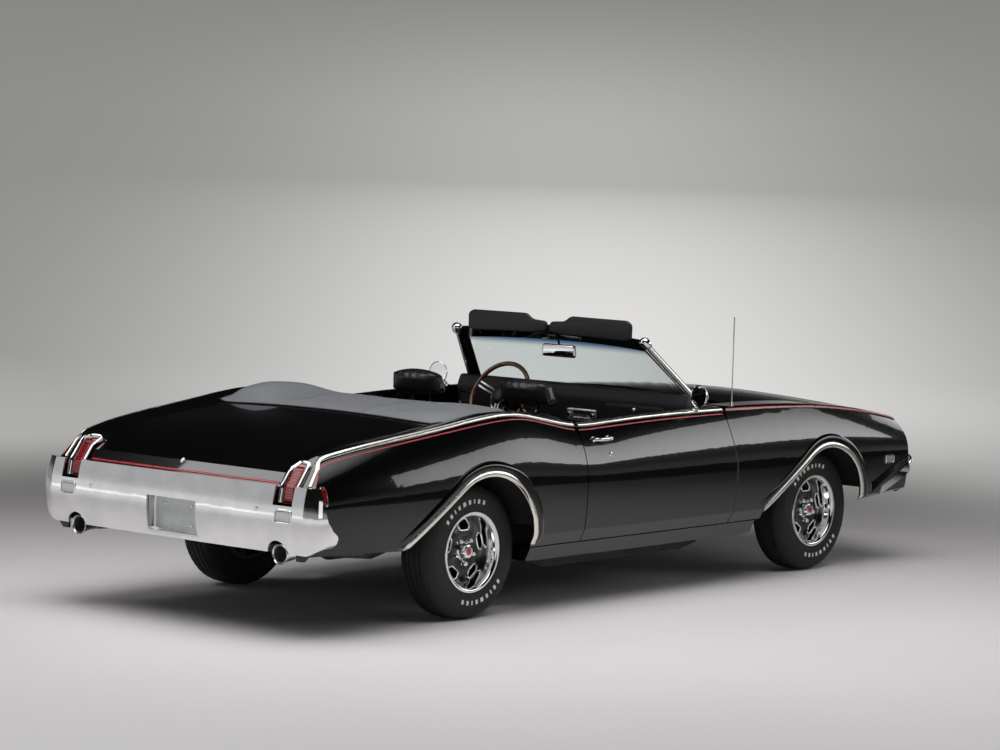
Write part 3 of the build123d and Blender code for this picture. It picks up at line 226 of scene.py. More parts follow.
@dataclass(frozen=True)
class Glazing(Finish):
    """Clear or coloured see-through finish.

    Attributes:
        density: 1 for a fully see-through sheet.
        band: Colour of the shade band along the top edge, or none.
        band_z: Heights in metres between which the band fades in.
    """

    density: float = 1.0
    band: str = ""
    band_z: tuple[float, float] = (1.15, 1.26)

    def dress(self, tree: NodeTree, shader: Node) -> None:
        """Set a transmitting shader, with the shade band where there is one.

        Args:
            tree: Node tree of the material.
            shader: Its Principled shader.
        """
        super().dress(tree, shader)
        shader.inputs["Transmission Weight"].default_value = self.density
        shader.inputs["IOR"].default_value = 1.5
        if self.band:
            place = node(tree, "TexCoord")
            split = node(tree, "SeparateXYZ", {"Vector": place.outputs["Object"]})
            fade = node(tree, "MapRange", {"Value": split.outputs["Z"], "From Min": self.band_z[0],
                                           "From Max": self.band_z[1]}, interpolation_type="SMOOTHSTEP")
            blend = node(tree, "Mix", {0: fade.outputs[0], 6: linear(self.colour), 7: linear(self.band)},
                         data_type="RGBA")
            tree.links.new(blend.outputs[2], shader.inputs["Base Color"])


# Polished black lacquer: near-black under a wet clear coat, with a faint sprayed ripple.
PAINT = Finish("black lacquer, polished", "#040405", "#08080A", 0.22, Grain.PEEL, 9.0, 0.004, 0.04, coat=1.0, gloss=0.1)
# Bright chrome plate: mirror with a little handling haze.
CHROME = Finish("chrome plate on steel", "#EDEDEE", "#DCDDDF", 0.06, Grain.MOTTLE, 120.0, 0.0, 0.03, 1.0, slot="chrome")
# Rolled stainless moulding: a warmer, softer mirror than chrome.
STAINLESS = Finish("polished stainless moulding", "#F1EEE6", "#E6E3DB", 0.24, Grain.BRUSH, 6.0, 0.0, 0.05, 1.0,
                   slot="chrome", along=(0.05, 1.0, 1.0))
# Red pinstripe enamel: a flat bright line under clear coat.
STRIPE = Finish("red pinstripe enamel", "#C62832", "#B8212B", 0.3, Grain.MOTTLE, 30.0, coat=0.6)
# Tyre rubber: dull warm black with a dusty bloom.
RUBBER = Finish("vulcanised tyre rubber", "#161616", "#232221", 0.72, Grain.MOTTLE, 18.0, 0.05, 0.1, slot="tyre")
# White sidewall rubber: matt off-white.
WHITE_RUBBER = Finish("white sidewall rubber", "#F3F1EA", "#E6E3DA", 0.55, Grain.MOTTLE, 12.0, slot="tyre")
# Satin enamel on the wheel discs: black with a broad soft highlight.
WHEEL_BLACK = Finish("satin black wheel enamel", "#060607", "#0C0C0D", 0.36, Grain.MOTTLE, 20.0, 0.01,
                     coat=0.3, slot="wheel_paint")
# Grained black vinyl: soft highlights broken by a pebble grain, drawn 2.6 mm wide so that it shows.
VINYL = Finish("grained black vinyl", "#101013", "#161619", 0.42, Grain.HIDE, 2.6, 0.12, 0.08, slot="vinyl")
# Seat vinyl: softer and glossier than the other vinyl, and painted lighter as highlight, so that the pads catch the
# light.
SEAT_VINYL = Finish("seat vinyl, black", "#1A1A1E", "#232328", 0.34, Grain.HIDE, 2.6, 0.1, 0.08, coat=0.12,
                    slot="vinyl")
# Dash skin: duller, so that it throws no glare on the screen.
DASH_SKIN = Finish("dull dash skin", "#08080A", "#0D0D0F", 0.58, Grain.HIDE, 2.2, 0.1, 0.06, slot="vinyl")
# Boot cover vinyl: the same hide, its colour lightened to grey as painted sheen.
COVER_VINYL = Finish("weathered cover vinyl", "#85878B", "#93959A", 0.32, Grain.HIDE, 3.2, 0.1, 0.08, slot="vinyl")
# Moulded black plastic: dull and even, with a fine spark texture.
PLASTIC = Finish("moulded black plastic", "#101011", "#18181A", 0.5, Grain.CAST, 2.0, 0.03, slot="trim_plastic")
# Walnut: warm brown with darker rings, under varnish.
WALNUT = Finish("varnished walnut", "#7D451F", "#4A2410", 0.28, Grain.TIMBER, 9.0, 0.0, 0.05, coat=0.8,
                slot="trim_plastic", along=(1.0, 0.25, 1.0))
# Brushed steel of the spokes: highlights drawn out across the lines.
BRUSHED = Finish("brushed stainless", "#D4D4D2", "#B4B4B2", 0.3, Grain.BRUSH, 2.0, 0.01, 0.1, 1.0, slot="chrome",
                 along=(1.0, 0.06, 0.06))
# Laminated glass: a faint green-grey with a blue shade band at the top.
GLASS = Glazing("laminated screen glass", "#E9F2F0", "#E4EEEC", 0.02, Grain.MOTTLE, 300.0, 0.0, 0.01,
                slot="glass", band="#1F5C8C", band_z=(1.196, 1.25))
# Lamp lenses of moulded acrylic: glossy, deep in colour and half see-through.
RED_LENS = Glazing("red acrylic lens", "#B00F1E", "#8E0A18", 0.12, Grain.MOTTLE, 15.0, coat=0.5, slot="red_lens",
                   density=0.35)
CLEAR_LENS = Glazing("clear acrylic lens", "#F4F4F0", "#E6E6E2", 0.1, Grain.MOTTLE, 15.0, coat=0.5,
                     slot="clear_lens", density=0.55)
# Silvered mirror glass: a clean, sharp mirror.
MIRROR = Finish("silvered mirror glass", "#EEF0F1", "#E4E6E8", 0.03, Grain.MOTTLE, 60.0, 0.0, 0.01, 1.0, slot="mirror")
# Chassis black: satin, dulled by road film.
CHASSIS = Finish("chassis black with road film", "#0D0D0D", "#26231F", 0.6, Grain.CAST, 70.0, 0.05, 0.15,
                 slot="chassis_paint")
# Underseal: dead black and lumpy, in the wheelhouses and under the floor; kept darker than the chassis black as painted
# shade in these recesses.
UNDERSEAL_AND_SHADE = Finish("brushed-on underseal", "#060606", "#0B0B0A", 0.85, Grain.CAST, 14.0, 0.5, 0.05,
                   slot="chassis_paint")
# Cast iron: dark grey, pitted.
IRON = Finish("cast iron", "#3A3836", "#252322", 0.62, Grain.CAST, 5.0, 0.25, 0.12, 0.7, slot="iron")
# Engine enamel: warm bronze, half gloss over rough castings.
ENGINE = Finish("bronze engine enamel", "#7A6130", "#5E4A25", 0.42, Grain.CAST, 8.0, 0.12, 0.1, 0.2,
                slot="engine_paint")
# Aluminised pipe: grey, slightly heat-stained.
PIPE = Finish("aluminised exhaust pipe", "#8C8A86", "#6B645B", 0.4, Grain.CAST, 50.0, 0.03, 0.14, 0.9,
              slot="pipe_steel")
# Grille bars: a dull, dark silver-grey paint.
GRILLE = Finish("dark argent grille paint", "#232426", "#2D2E30", 0.4, Grain.MOTTLE, 12.0, 0.01, slot="grille_black")
# Blank plate: white stove enamel on pressed aluminium.
PLATE = Finish("white plate enamel", "#D8DEDA", "#CCD3CF", 0.36, Grain.MOTTLE, 30.0, 0.02, slot="trim_plastic")
# Dial faces: matt black print.
DIAL = Finish("matt dial print", "#0A0A0B", "#101011", 0.6, Grain.MOTTLE, 8.0, slot="trim_plastic")


class Hide:
    """Nearest places on the CAD skin, so that trim lies on what carries it."""

    def __init__(self, *names: str) -> None:
        """Gather the triangles of the named nodes.

        Args:
            names: The nodes.
        """
        points: list[Vector] = []
        faces: list[tuple[int, ...]] = []
        for name in names:
            mesh = frame["nodes"][name].data
            base = len(points)
            points += [v.co.copy() for v in mesh.vertices]
            faces += [tuple(base + i for i in p.vertices) for p in mesh.polygons]
        self.tree = BVHTree.FromPolygons(points, faces)

    def nearest(self, place: Point) -> tuple[Vector, Vector]:
        """Closest surface point and its normal."""
        hit, normal, _, _ = self.tree.find_nearest(Vector(place))
        return hit, normal

    def shot(self, start: Point, way: Point) -> tuple[Vector, Vector] | None:
        """First surface point along a ray and its normal, or nothing."""
        hit, normal, _, _ = self.tree.ray_cast(Vector(start), Vector(way))
        return (hit, normal) if hit is not None else None


def rounded(values: Sequence[Point], count: int) -> list[Vector]:
    """Evenly spaced points on a smooth curve through a few places.

    Args:
        values: Places that the curve passes.
        count: Number of points wanted.

    Returns:
        The points, from the first place to the last.
    """
    p = np.array(values, float)
    p = np.vstack([2 * p[0] - p[1], p, 2 * p[-1] - p[-2]])
    fine = []
    for i in range(1, len(p) - 2):
        for t in np.linspace(0, 1, 24, endpoint=False):
            a, b, c, d = p[i - 1:i + 3]
            fine.append(0.5 * (2 * b + (c - a) * t + (2 * a - 5 * b + 4 * c - d) * t ** 2
                               + (3 * b - a - 3 * c + d) * t ** 3))
    fine.append(p[-2])
    fine = np.array(fine)
    run = np.concatenate([[0], np.cumsum(np.linalg.norm(np.diff(fine, axis=0), axis=1))])
    want = np.linspace(0, run[-1], count)
    return [Vector([np.interp(w, run, fine[:, k]) for k in range(fine.shape[1])]) for w in want]


def circle(count: int) -> np.ndarray:
    """Evenly spaced angles round a circle."""
    return np.linspace(0, 2 * pi, count, endpoint=False)


def edge_of(rows: Sequence[list[Vector]]) -> list[Vector]:
    """Outer edge of a grid of points, in order."""
    return rows[0] + [r[-1] for r in rows[1:]] + rows[-1][-2::-1] + [r[0] for r in rows[-2:0:-1]]


def linked(name: str, data: Any) -> Object:
    """New object in the scene.

    Args:
        name: Its name.
        data: Its mesh, light or camera.

    Returns:
        The object.
    """
    made = bpy.data.objects.new(name, data)
    bpy.context.scene.collection.objects.link(made)
    return made


@dataclass
class Shape:
    """A mesh under construction, in metres in the row frame.

    Attributes:
        points: Its points.
        faces: Its faces, as numbers of those points.
    """

    points: list = field(default_factory=list)
    faces: list = field(default_factory=list)

    def add(self, points: Iterable[Point], faces: Iterable[Sequence[int]]) -> "Shape":
        """Put in points and the faces between them.

        Args:
            points: New points.
            faces: Faces as numbers of those points.

        Returns:
            This shape.
        """
        base = len(self.points)
        self.points += [tuple(p) for p in points]
        self.faces += [tuple(base + i for i in f) for f in faces]
        return self

    def loft(self, rings: Sequence[Sequence[Point]], closed: bool = True, caps: bool = True,
             loop: bool = False) -> "Shape":
        """Skin a row of rings of equal length.

        Args:
            rings: Point rings, in order.
            closed: Whether each ring closes on itself.
            caps: Whether the two ends are filled.
            loop: Whether the last ring joins the first.

        Returns:
            This shape.
        """
        n = len(rings[0])
        flat = [p for ring in rings for p in ring]
        faces = []
        for r in range(len(rings) if loop else len(rings) - 1):
            a, b = r * n, ((r + 1) % len(rings)) * n
            for i in range(n if closed else n - 1):
                j = (i + 1) % n
                faces.append((a + i, a + j, b + j, b + i))
        if caps and closed and not loop:
            faces.append(tuple(range(n))[::-1])
            faces.append(tuple((len(rings) - 1) * n + i for i in range(n)))
        return self.add(flat, faces)

    def lathe(self, profile: Pairs, origin: Point, axis: Point, turns: int = 72, loop: bool = False) -> "Shape":
        """Turn a profile about an axis.

        Args:
            profile: Radius and height along the axis, in order.
            origin: Point on the axis at height 0.
            axis: Direction of the axis.
            turns: Number of steps round.
            loop: Whether the profile closes on itself.

        Returns:
            This shape.
        """
        w = Vector(axis).normalized()
        u = w.orthogonal().normalized()
        v = w.cross(u)
        o = Vector(origin)
        rings = [[o + (u * cos(a) + v * sin(a)) * r + w * h for r, h in profile] for a in circle(turns)]
        return self.loft(rings, closed=loop, caps=False, loop=True)

    def sweep(self, path: Sequence[Vector], normals: Sequence[Vector], section: Pairs, loop: bool = False) -> "Shape":
        """Carry a section along a path that lies on a surface.

        Args:
            path: Points of the path.
            normals: Surface normal at each point.
            section: Closed section as (across, out) pairs.
            loop: Whether the path closes on itself.

        Returns:
            This shape.
        """
        rings = []
        n = len(path)
        for i, (p, out) in enumerate(zip(path, normals)):
            ahead = path[(i + 1) % n] if loop else path[min(i + 1, n - 1)]
            back = path[i - 1] if loop else path[max(i - 1, 0)]
            along = (Vector(ahead) - Vector(back)).normalized()
            side = along.cross(Vector(out)).normalized()
            up = side.cross(along).normalized()
            rings.append([Vector(p) + side * a + up * b for a, b in section])
        return self.loft(rings, loop=loop)

    def tube(self, path: Sequence[Vector], radius: float, sides: int = 12, loop: bool = False) -> "Shape":
        """Round bar along a path, with its section carried without twist.

        Args:
            path: Points of its middle line.
            radius: Its radius.
            sides: Points round it.
            loop: Whether it closes on itself.

        Returns:
            This shape.
        """
        ring = [(radius * cos(a), radius * sin(a)) for a in circle(sides)]
        normals = []
        out = (Vector(path[1]) - Vector(path[0])).orthogonal().normalized()
        for i in range(len(path)):
            along = (Vector(path[min(i + 1, len(path) - 1)]) - Vector(path[max(i - 1, 0)])).normalized()
            out = (out - along * out.dot(along)).normalized()
            normals.append(out)
        return self.sweep(path, normals, ring, loop)

    def build(self, name: str, finish: Finish, sharp: float = 38.0, body: str = "body") -> Object:
        """Make the object, dress it and set it riding.

        Args:
            name: Name of the piece.
            finish: Its finish.
            sharp: Angle in degrees above which an edge stays crisp.
            body: CAD body that it moves with.

        Returns:
            The finished piece.
        """
        mesh = bpy.data.meshes.new(name)
        mesh.from_pydata(self.points, [], self.faces)
        work = bmesh.new()
        work.from_mesh(mesh)
        bmesh.ops.remove_doubles(work, verts=work.verts, dist=1e-6)
        bmesh.ops.dissolve_degenerate(work, edges=work.edges, dist=1e-7)
        bmesh.ops.recalc_face_normals(work, faces=work.faces)
        work.to_mesh(mesh)
        work.free()
        mesh.validate()
        return dress(linked(name, mesh), finish, sharp, body)


def dress(made: Object, finish: Finish, sharp: float = 38.0, body: str = "body") -> Object:
    """Apply an object's modifiers, shade it, and give it a finish and a body.

    Args:
        made: The object.
        finish: Its finish.
        sharp: Angle in degrees above which an edge stays crisp.
        body: CAD body that it moves with.

    Returns:
        The same object.
    """
    if made.modifiers:
        graph = bpy.context.evaluated_depsgraph_get()
        done = bpy.data.meshes.new_from_object(made.evaluated_get(graph))
        made.modifiers.clear()
        made.data = done
    made.data.materials.clear()
    made.data.materials.append(finish.material())
    made.data.polygons.foreach_set("use_smooth", [True] * len(made.data.polygons))
    made.data.set_sharp_from_angle(angle=radians(sharp))
    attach(made, body)
    LOG.info("%s: %s on %s", made.name, finish.name, body)
    return made


def dome(width: float, height: float, steps: int = 7, sink: float = 0.002) -> list[tuple[float, float]]:
    """Domed section of a moulding.

    Args:
        width: Its width.
        height: Its height.
        steps: Steps over the dome.
        sink: How far it reaches into what carries it.

    Returns:
        The section as (across, out) pairs.
    """
    arc = [(width / 2 * cos(pi * k / steps), height * sin(pi * k / steps)) for k in range(steps + 1)]
    return [(width / 2, -sink)] + arc + [(-width / 2, -sink)]


@dataclass
class Studio:
    """Camera, soft light and the pale floor that the car stands on.

    Attributes:
        eye: Camera place in metres.
        yaw: Heading from +X towards +Y, in degrees.
        pitch: Rise of the view, in degrees.
        roll: Tilt of the picture, in degrees.
        lens: Focal length for a 36 mm wide sensor.
    """

    eye: tuple[float, float, float] = (-13.1475, -11.048, 2.381)
    yaw: float = 40.485
    pitch: float = -4.371
    roll: float = 1.606
    lens: float = 117.27
    # Bell curve of the pale pool, from how far to the side of it a place lies.
    BELL: ClassVar[tuple] = (("bell", "MULTIPLY", "offset", "offset"), ("bell", "MULTIPLY", "bell", -0.06),
                             ("bell", "POWER", 2.718, "bell"))

    @property
    def ways(self) -> tuple[Point, Point]:
        """Level directions ahead of the camera and to its right."""
        yaw = radians(self.yaw)
        return (cos(yaw), sin(yaw), 0.0), (sin(yaw), -cos(yaw), 0.0)

    def camera(self) -> None:
        """Set the camera at the photograph's view."""
        yaw, pitch, roll = (radians(a) for a in (self.yaw, self.pitch, self.roll))
        ahead = Vector((cos(yaw) * cos(pitch), sin(yaw) * cos(pitch), sin(pitch)))
        right = Vector((sin(yaw), -cos(yaw), 0))
        up = right.cross(ahead)
        right, up = (right * cos(roll) + up * sin(roll), up * cos(roll) - right * sin(roll))
        data = bpy.data.cameras.new("studio camera")
        data.sensor_width, data.lens, data.clip_end = 36.0, self.lens, 1000.0
        made = linked("studio_camera", data)
        matrix = Matrix((right, up, -ahead)).transposed().to_4x4()
        matrix.translation = Vector(self.eye)
        made.matrix_world = matrix
        bpy.context.scene.camera = made

    def floor(self) -> None:
        """Lay the round floor, flat to the horizon."""
        reach = (0.0, 2.0, 4.0, 6.0, 9.0, 14.0, 22.0, 40.0, 80.0, 160.0, 420.0)
        rings = [[(r * cos(a), r * sin(a), 0.0) for a in np.linspace(0, 2 * pi, 96)] for r in reach]
        shape = Shape().loft(rings, closed=False)
        mesh = bpy.data.meshes.new("studio_floor")
        mesh.from_pydata(shape.points, [], shape.faces)
        made = linked("studio_floor", mesh)
        made.data.materials.append(self.paper())

    def paper(self) -> Material:
        """Pale floor: lit paper about the car, and beyond it the pale background that metal and glass show too.

        Returns:
            The material.
        """
        ahead, side = self.ways
        made = bpy.data.materials.new("pale studio paper")
        made.use_nodes = True
        tree = made.node_tree
        shader, out = tree.nodes["Principled BSDF"], tree.nodes["Material Output"]
        shader.inputs["Roughness"].default_value = 0.6
        place = node(tree, "NewGeometry").outputs["Position"]
        grain = node(tree, "TexNoise", {"Vector": place, "Scale": 0.8, "Detail": 3.0}).outputs["Fac"]
        tint = node(tree, "Mix", {0: grain, 6: linear("#E9E5E6"), 7: linear("#EFEBEC")}, data_type="RGBA")
        tree.links.new(tint.outputs[2], shader.inputs["Base Color"])
        rays = node(tree, "LightPath").outputs
        known = {"place": place, "camera": rays["Is Camera Ray"], "glossy": rays["Is Glossy Ray"],
                 "through": rays["Is Transmission Ray"]}
        parts = chain(tree, known, (
            ("across", "Vector.DOT_PRODUCT", "place", side),
            ("beyond", "Vector.DOT_PRODUCT", "place", ahead),
            ("away", "Vector.LENGTH", "place"),
            # The pool of light behind the car widens and fades with distance.
            ("spread", "SUBTRACT", "beyond", 15.0),
            ("spread", "MAXIMUM", "spread", 0.0),
            ("spread", "DIVIDE", "spread", 45.0),
            ("spread", "ADD", 1.0, "spread"),
            ("offset", "DIVIDE", "across", "spread"),
            ("offset", "SUBTRACT", "offset", 0.9),
            *self.BELL,
            ("far", "Range.LINEAR", "away", 15.0, 119.0, 1.0, 0.35),
            ("behind", "Range.SMOOTHSTEP", "beyond", 2.0, 12.0),
            ("behind", "MULTIPLY", "behind", "bell"),
            ("behind", "MULTIPLY", "behind", "far"),
            # On the near side the floor is pale all round.
            ("before", "Range.SMOOTHSTEP", "beyond", -1.0, 4.0, 1.0, 0.0),
            ("near", "Range.SMOOTHSTEP", "away", 10.0, 26.0, 1.0, 0.0),
            ("before", "MULTIPLY", "before", "near"),
            ("around", "Range.SMOOTHSTEP", "away", 8.0, 22.0, 0.3, 0.0),
            ("pool", "MAXIMUM", "behind", "before"),
            ("pool", "MAXIMUM", "pool", "around"),
            # Like a black flag on the right: there paint and metal reflect the lit paper alone.
            ("flag", "MINIMUM", "beyond", 0.0),
            ("flag", "MULTIPLY", "flag", 0.8),
            ("flag", "ADD", "across", "flag"),
            ("flag", "Range.SMOOTHSTEP", "flag", 3.4, 5.0, 1.0, 0.0),
            ("shown", "MULTIPLY", "glossy", "flag"),
            ("shown", "MAXIMUM", "shown", "camera"),
            ("shown", "MAXIMUM", "shown", "through"),
            ("share", "Range.SMOOTHSTEP", "away", 3.6, 8.0),
            ("share", "MULTIPLY", "share", "shown"),
        ))
        tone = node(tree, "Mix", {0: parts["pool"], 6: linear("#8E8E8C"), 7: linear("#E2E1E0")}, data_type="RGBA")
        glow = node(tree, "Emission", {"Color": tone.outputs[2], "Strength": 1.0})
        mixed = node(tree, "MixShader", {0: parts["share"], 1: shader.outputs[0], 2: glow.outputs[0]})
        tree.links.new(mixed.outputs[0], out.inputs["Surface"])
        return made

    def room(self) -> World:
        """Dim room that is pale at the horizon, palest behind the car, and dark overhead.

        Returns:
            The world.
        """
        ahead, side = self.ways
        made = bpy.data.worlds.new("dim room")
        made.use_nodes = True
        tree = made.node_tree
        way = node(tree, "TexCoord").outputs["Generated"]
        rise = node(tree, "SeparateXYZ", {0: way}).outputs[2]
        share = node(tree, "MapRange", {0: rise, 1: -0.02, 2: 0.3}).outputs[0]
        tone = node(tree, "ValToRGB", {0: share})
        stops = ((0.0, "#8E8E8C"), (0.07, "#8E8E8C"), (0.2, "#868684"), (0.36, "#4A4A4A"), (0.55, "#181818"),
                 (1.0, "#121212"))
        while len(tone.color_ramp.elements) < len(stops):
            tone.color_ramp.elements.new(0.5)
        for stop, (at, colour) in zip(tone.color_ramp.elements, stops):
            stop.position, stop.color = at, linear(colour)
        parts = chain(tree, {"way": way, "rise": rise}, (
            ("front", "Vector.DOT_PRODUCT", "way", ahead),
            ("across", "Vector.DOT_PRODUCT", "way", side),
            ("offset", "MAXIMUM", "front", 0.05),
            ("offset", "DIVIDE", "across", "offset"),
            ("offset", "MULTIPLY", "offset", 45.0),
            ("offset", "SUBTRACT", "offset", 0.9),
            *self.BELL,
            ("low", "Range.SMOOTHSTEP", "rise", 0.05, -0.004, 0.0, 0.35),
            ("pool", "MULTIPLY", "bell", "low"),
            ("ahead", "GREATER_THAN", "front", 0.0),
            ("pool", "MULTIPLY", "pool", "ahead"),
        ))
        mixed = node(tree, "Mix", {0: parts["pool"], 6: tone.outputs[0], 7: linear("#E2E1E0")}, data_type="RGBA")
        tree.links.new(mixed.outputs[2], tree.nodes["Background"].inputs["Color"])
        return made

    def light(self) -> None:
        """Hang the soft boxes and set the dim room around them."""
        scene = bpy.context.scene
        scene.view_settings.view_transform = "Standard"
        scene.world = self.room()
        boxes = (
            ("ceiling", (-1.7, -1.6, 5.4), (-1.5, -1.4, 0.0), (8.0, 6.0), 148.0, 95.0),
            ("rear left", (-8.4, 5.8, 2.5), (-2.5, 0.0, 2.5), (6.5, 5.0), 46.0, 180.0),
            ("lid", (-5.7, 4.4, 5.4), (-2.6, 0.6, 0.4), (2.6, 2.2), 75.0, 180.0),
            ("hip", (5.9, -5.4, 3.1), (-0.6, -0.9, 2.5), (6.5, 2.2), 26.0, 70.0),
            ("front", (9.5, 1.0, 2.4), (2.5, 0.0, 0.6), (5.0, 3.0), 26.0, 120.0),
            ("camera wall", (-16.0, -13.5, 3.4), (0.0, 0.0, 0.8), (9.0, 6.0), 150.0, 180.0),
        )
        for name, place, aim, size, power, beam in boxes:
            data = bpy.data.lights.new(name, "AREA")
            data.shape, data.size, data.size_y, data.energy = "RECTANGLE", size[0], size[1], power
            data.spread = radians(beam)
            made = linked("light_" + name.replace(" ", "_"), data)
            made.matrix_world = (Matrix.Translation(place)
                                 @ (Vector(aim) - Vector(place)).to_track_quat("-Z", "Y").to_matrix().to_4x4())


@dataclass
class Solids:
    """The CAD nodes, which take a finish and keep their shape.

    Attributes:
        finishes: Finish of each node.
    """

    finishes: dict[str, Finish] = field(default_factory=lambda: {
        **{n: PAINT for n in (
            "fender_left", "fender_right", "quarter_left", "quarter_right", "door_left", "door_right", "hood",
            "trunk_lid", "deck_panel", "nose_panel", "rocker_panels", "windscreen_frame", "firewall_cowl",
            "tail_panel")},
        **{n: CHASSIS for n in (
            "frame_rails", "crossmembers", "fuel_tank", "radiator", "front_suspension", "rear_suspension",
            "knuckle_left", "knuckle_right")},
        # Wheelhouses and floors are darkened as painted shade.
        **{n: UNDERSEAL_AND_SHADE for n in ("wheelhouses", "trunk_floor", "floor_pan")},
        **{n: CHROME for n in (
            "front_bumper", "rear_bumper", "door_fittings_left", "door_fittings_right", "headlamps",
            "interior_mirror", "antenna")},
        **{n: VINYL for n in (
            "sun_visors", "dashboard", "seat_front_left", "seat_front_right", "rear_seat", "console",
            "rear_side_trim", "steering_column")},
        "top_boot": COVER_VINYL, "engine": ENGINE, "drivetrain": IRON,
        "rear_axle": IRON, "exhaust": PIPE, "grille": GRILLE,
        "tail_lamps": RED_LENS, "marker_lamps": CLEAR_LENS, "windscreen": GLASS,
        "steering_wheel": WALNUT,
        **{f"wheel_{a}_{s}": CHROME for a in ("front", "rear") for s in ("left", "right")},
        **{f"tyre_{a}_{s}": RUBBER for a in ("front", "rear") for s in ("left", "right")},
    })

    def build(self) -> None:
        """Give each node its finish."""
        for name, solid in frame["nodes"].items():
            solid.data.materials.clear()
            solid.data.materials.append(self.finishes[name].material())
            LOG.info("%s: %s", name, self.finishes[name].name)


class Side(Enum):
    """A side of the car, as the sign of Y."""

    LEFT = 1
    RIGHT = -1

    @property
    def word(self) -> str:
        """Lower-case name of the side."""
        return self.name.lower()


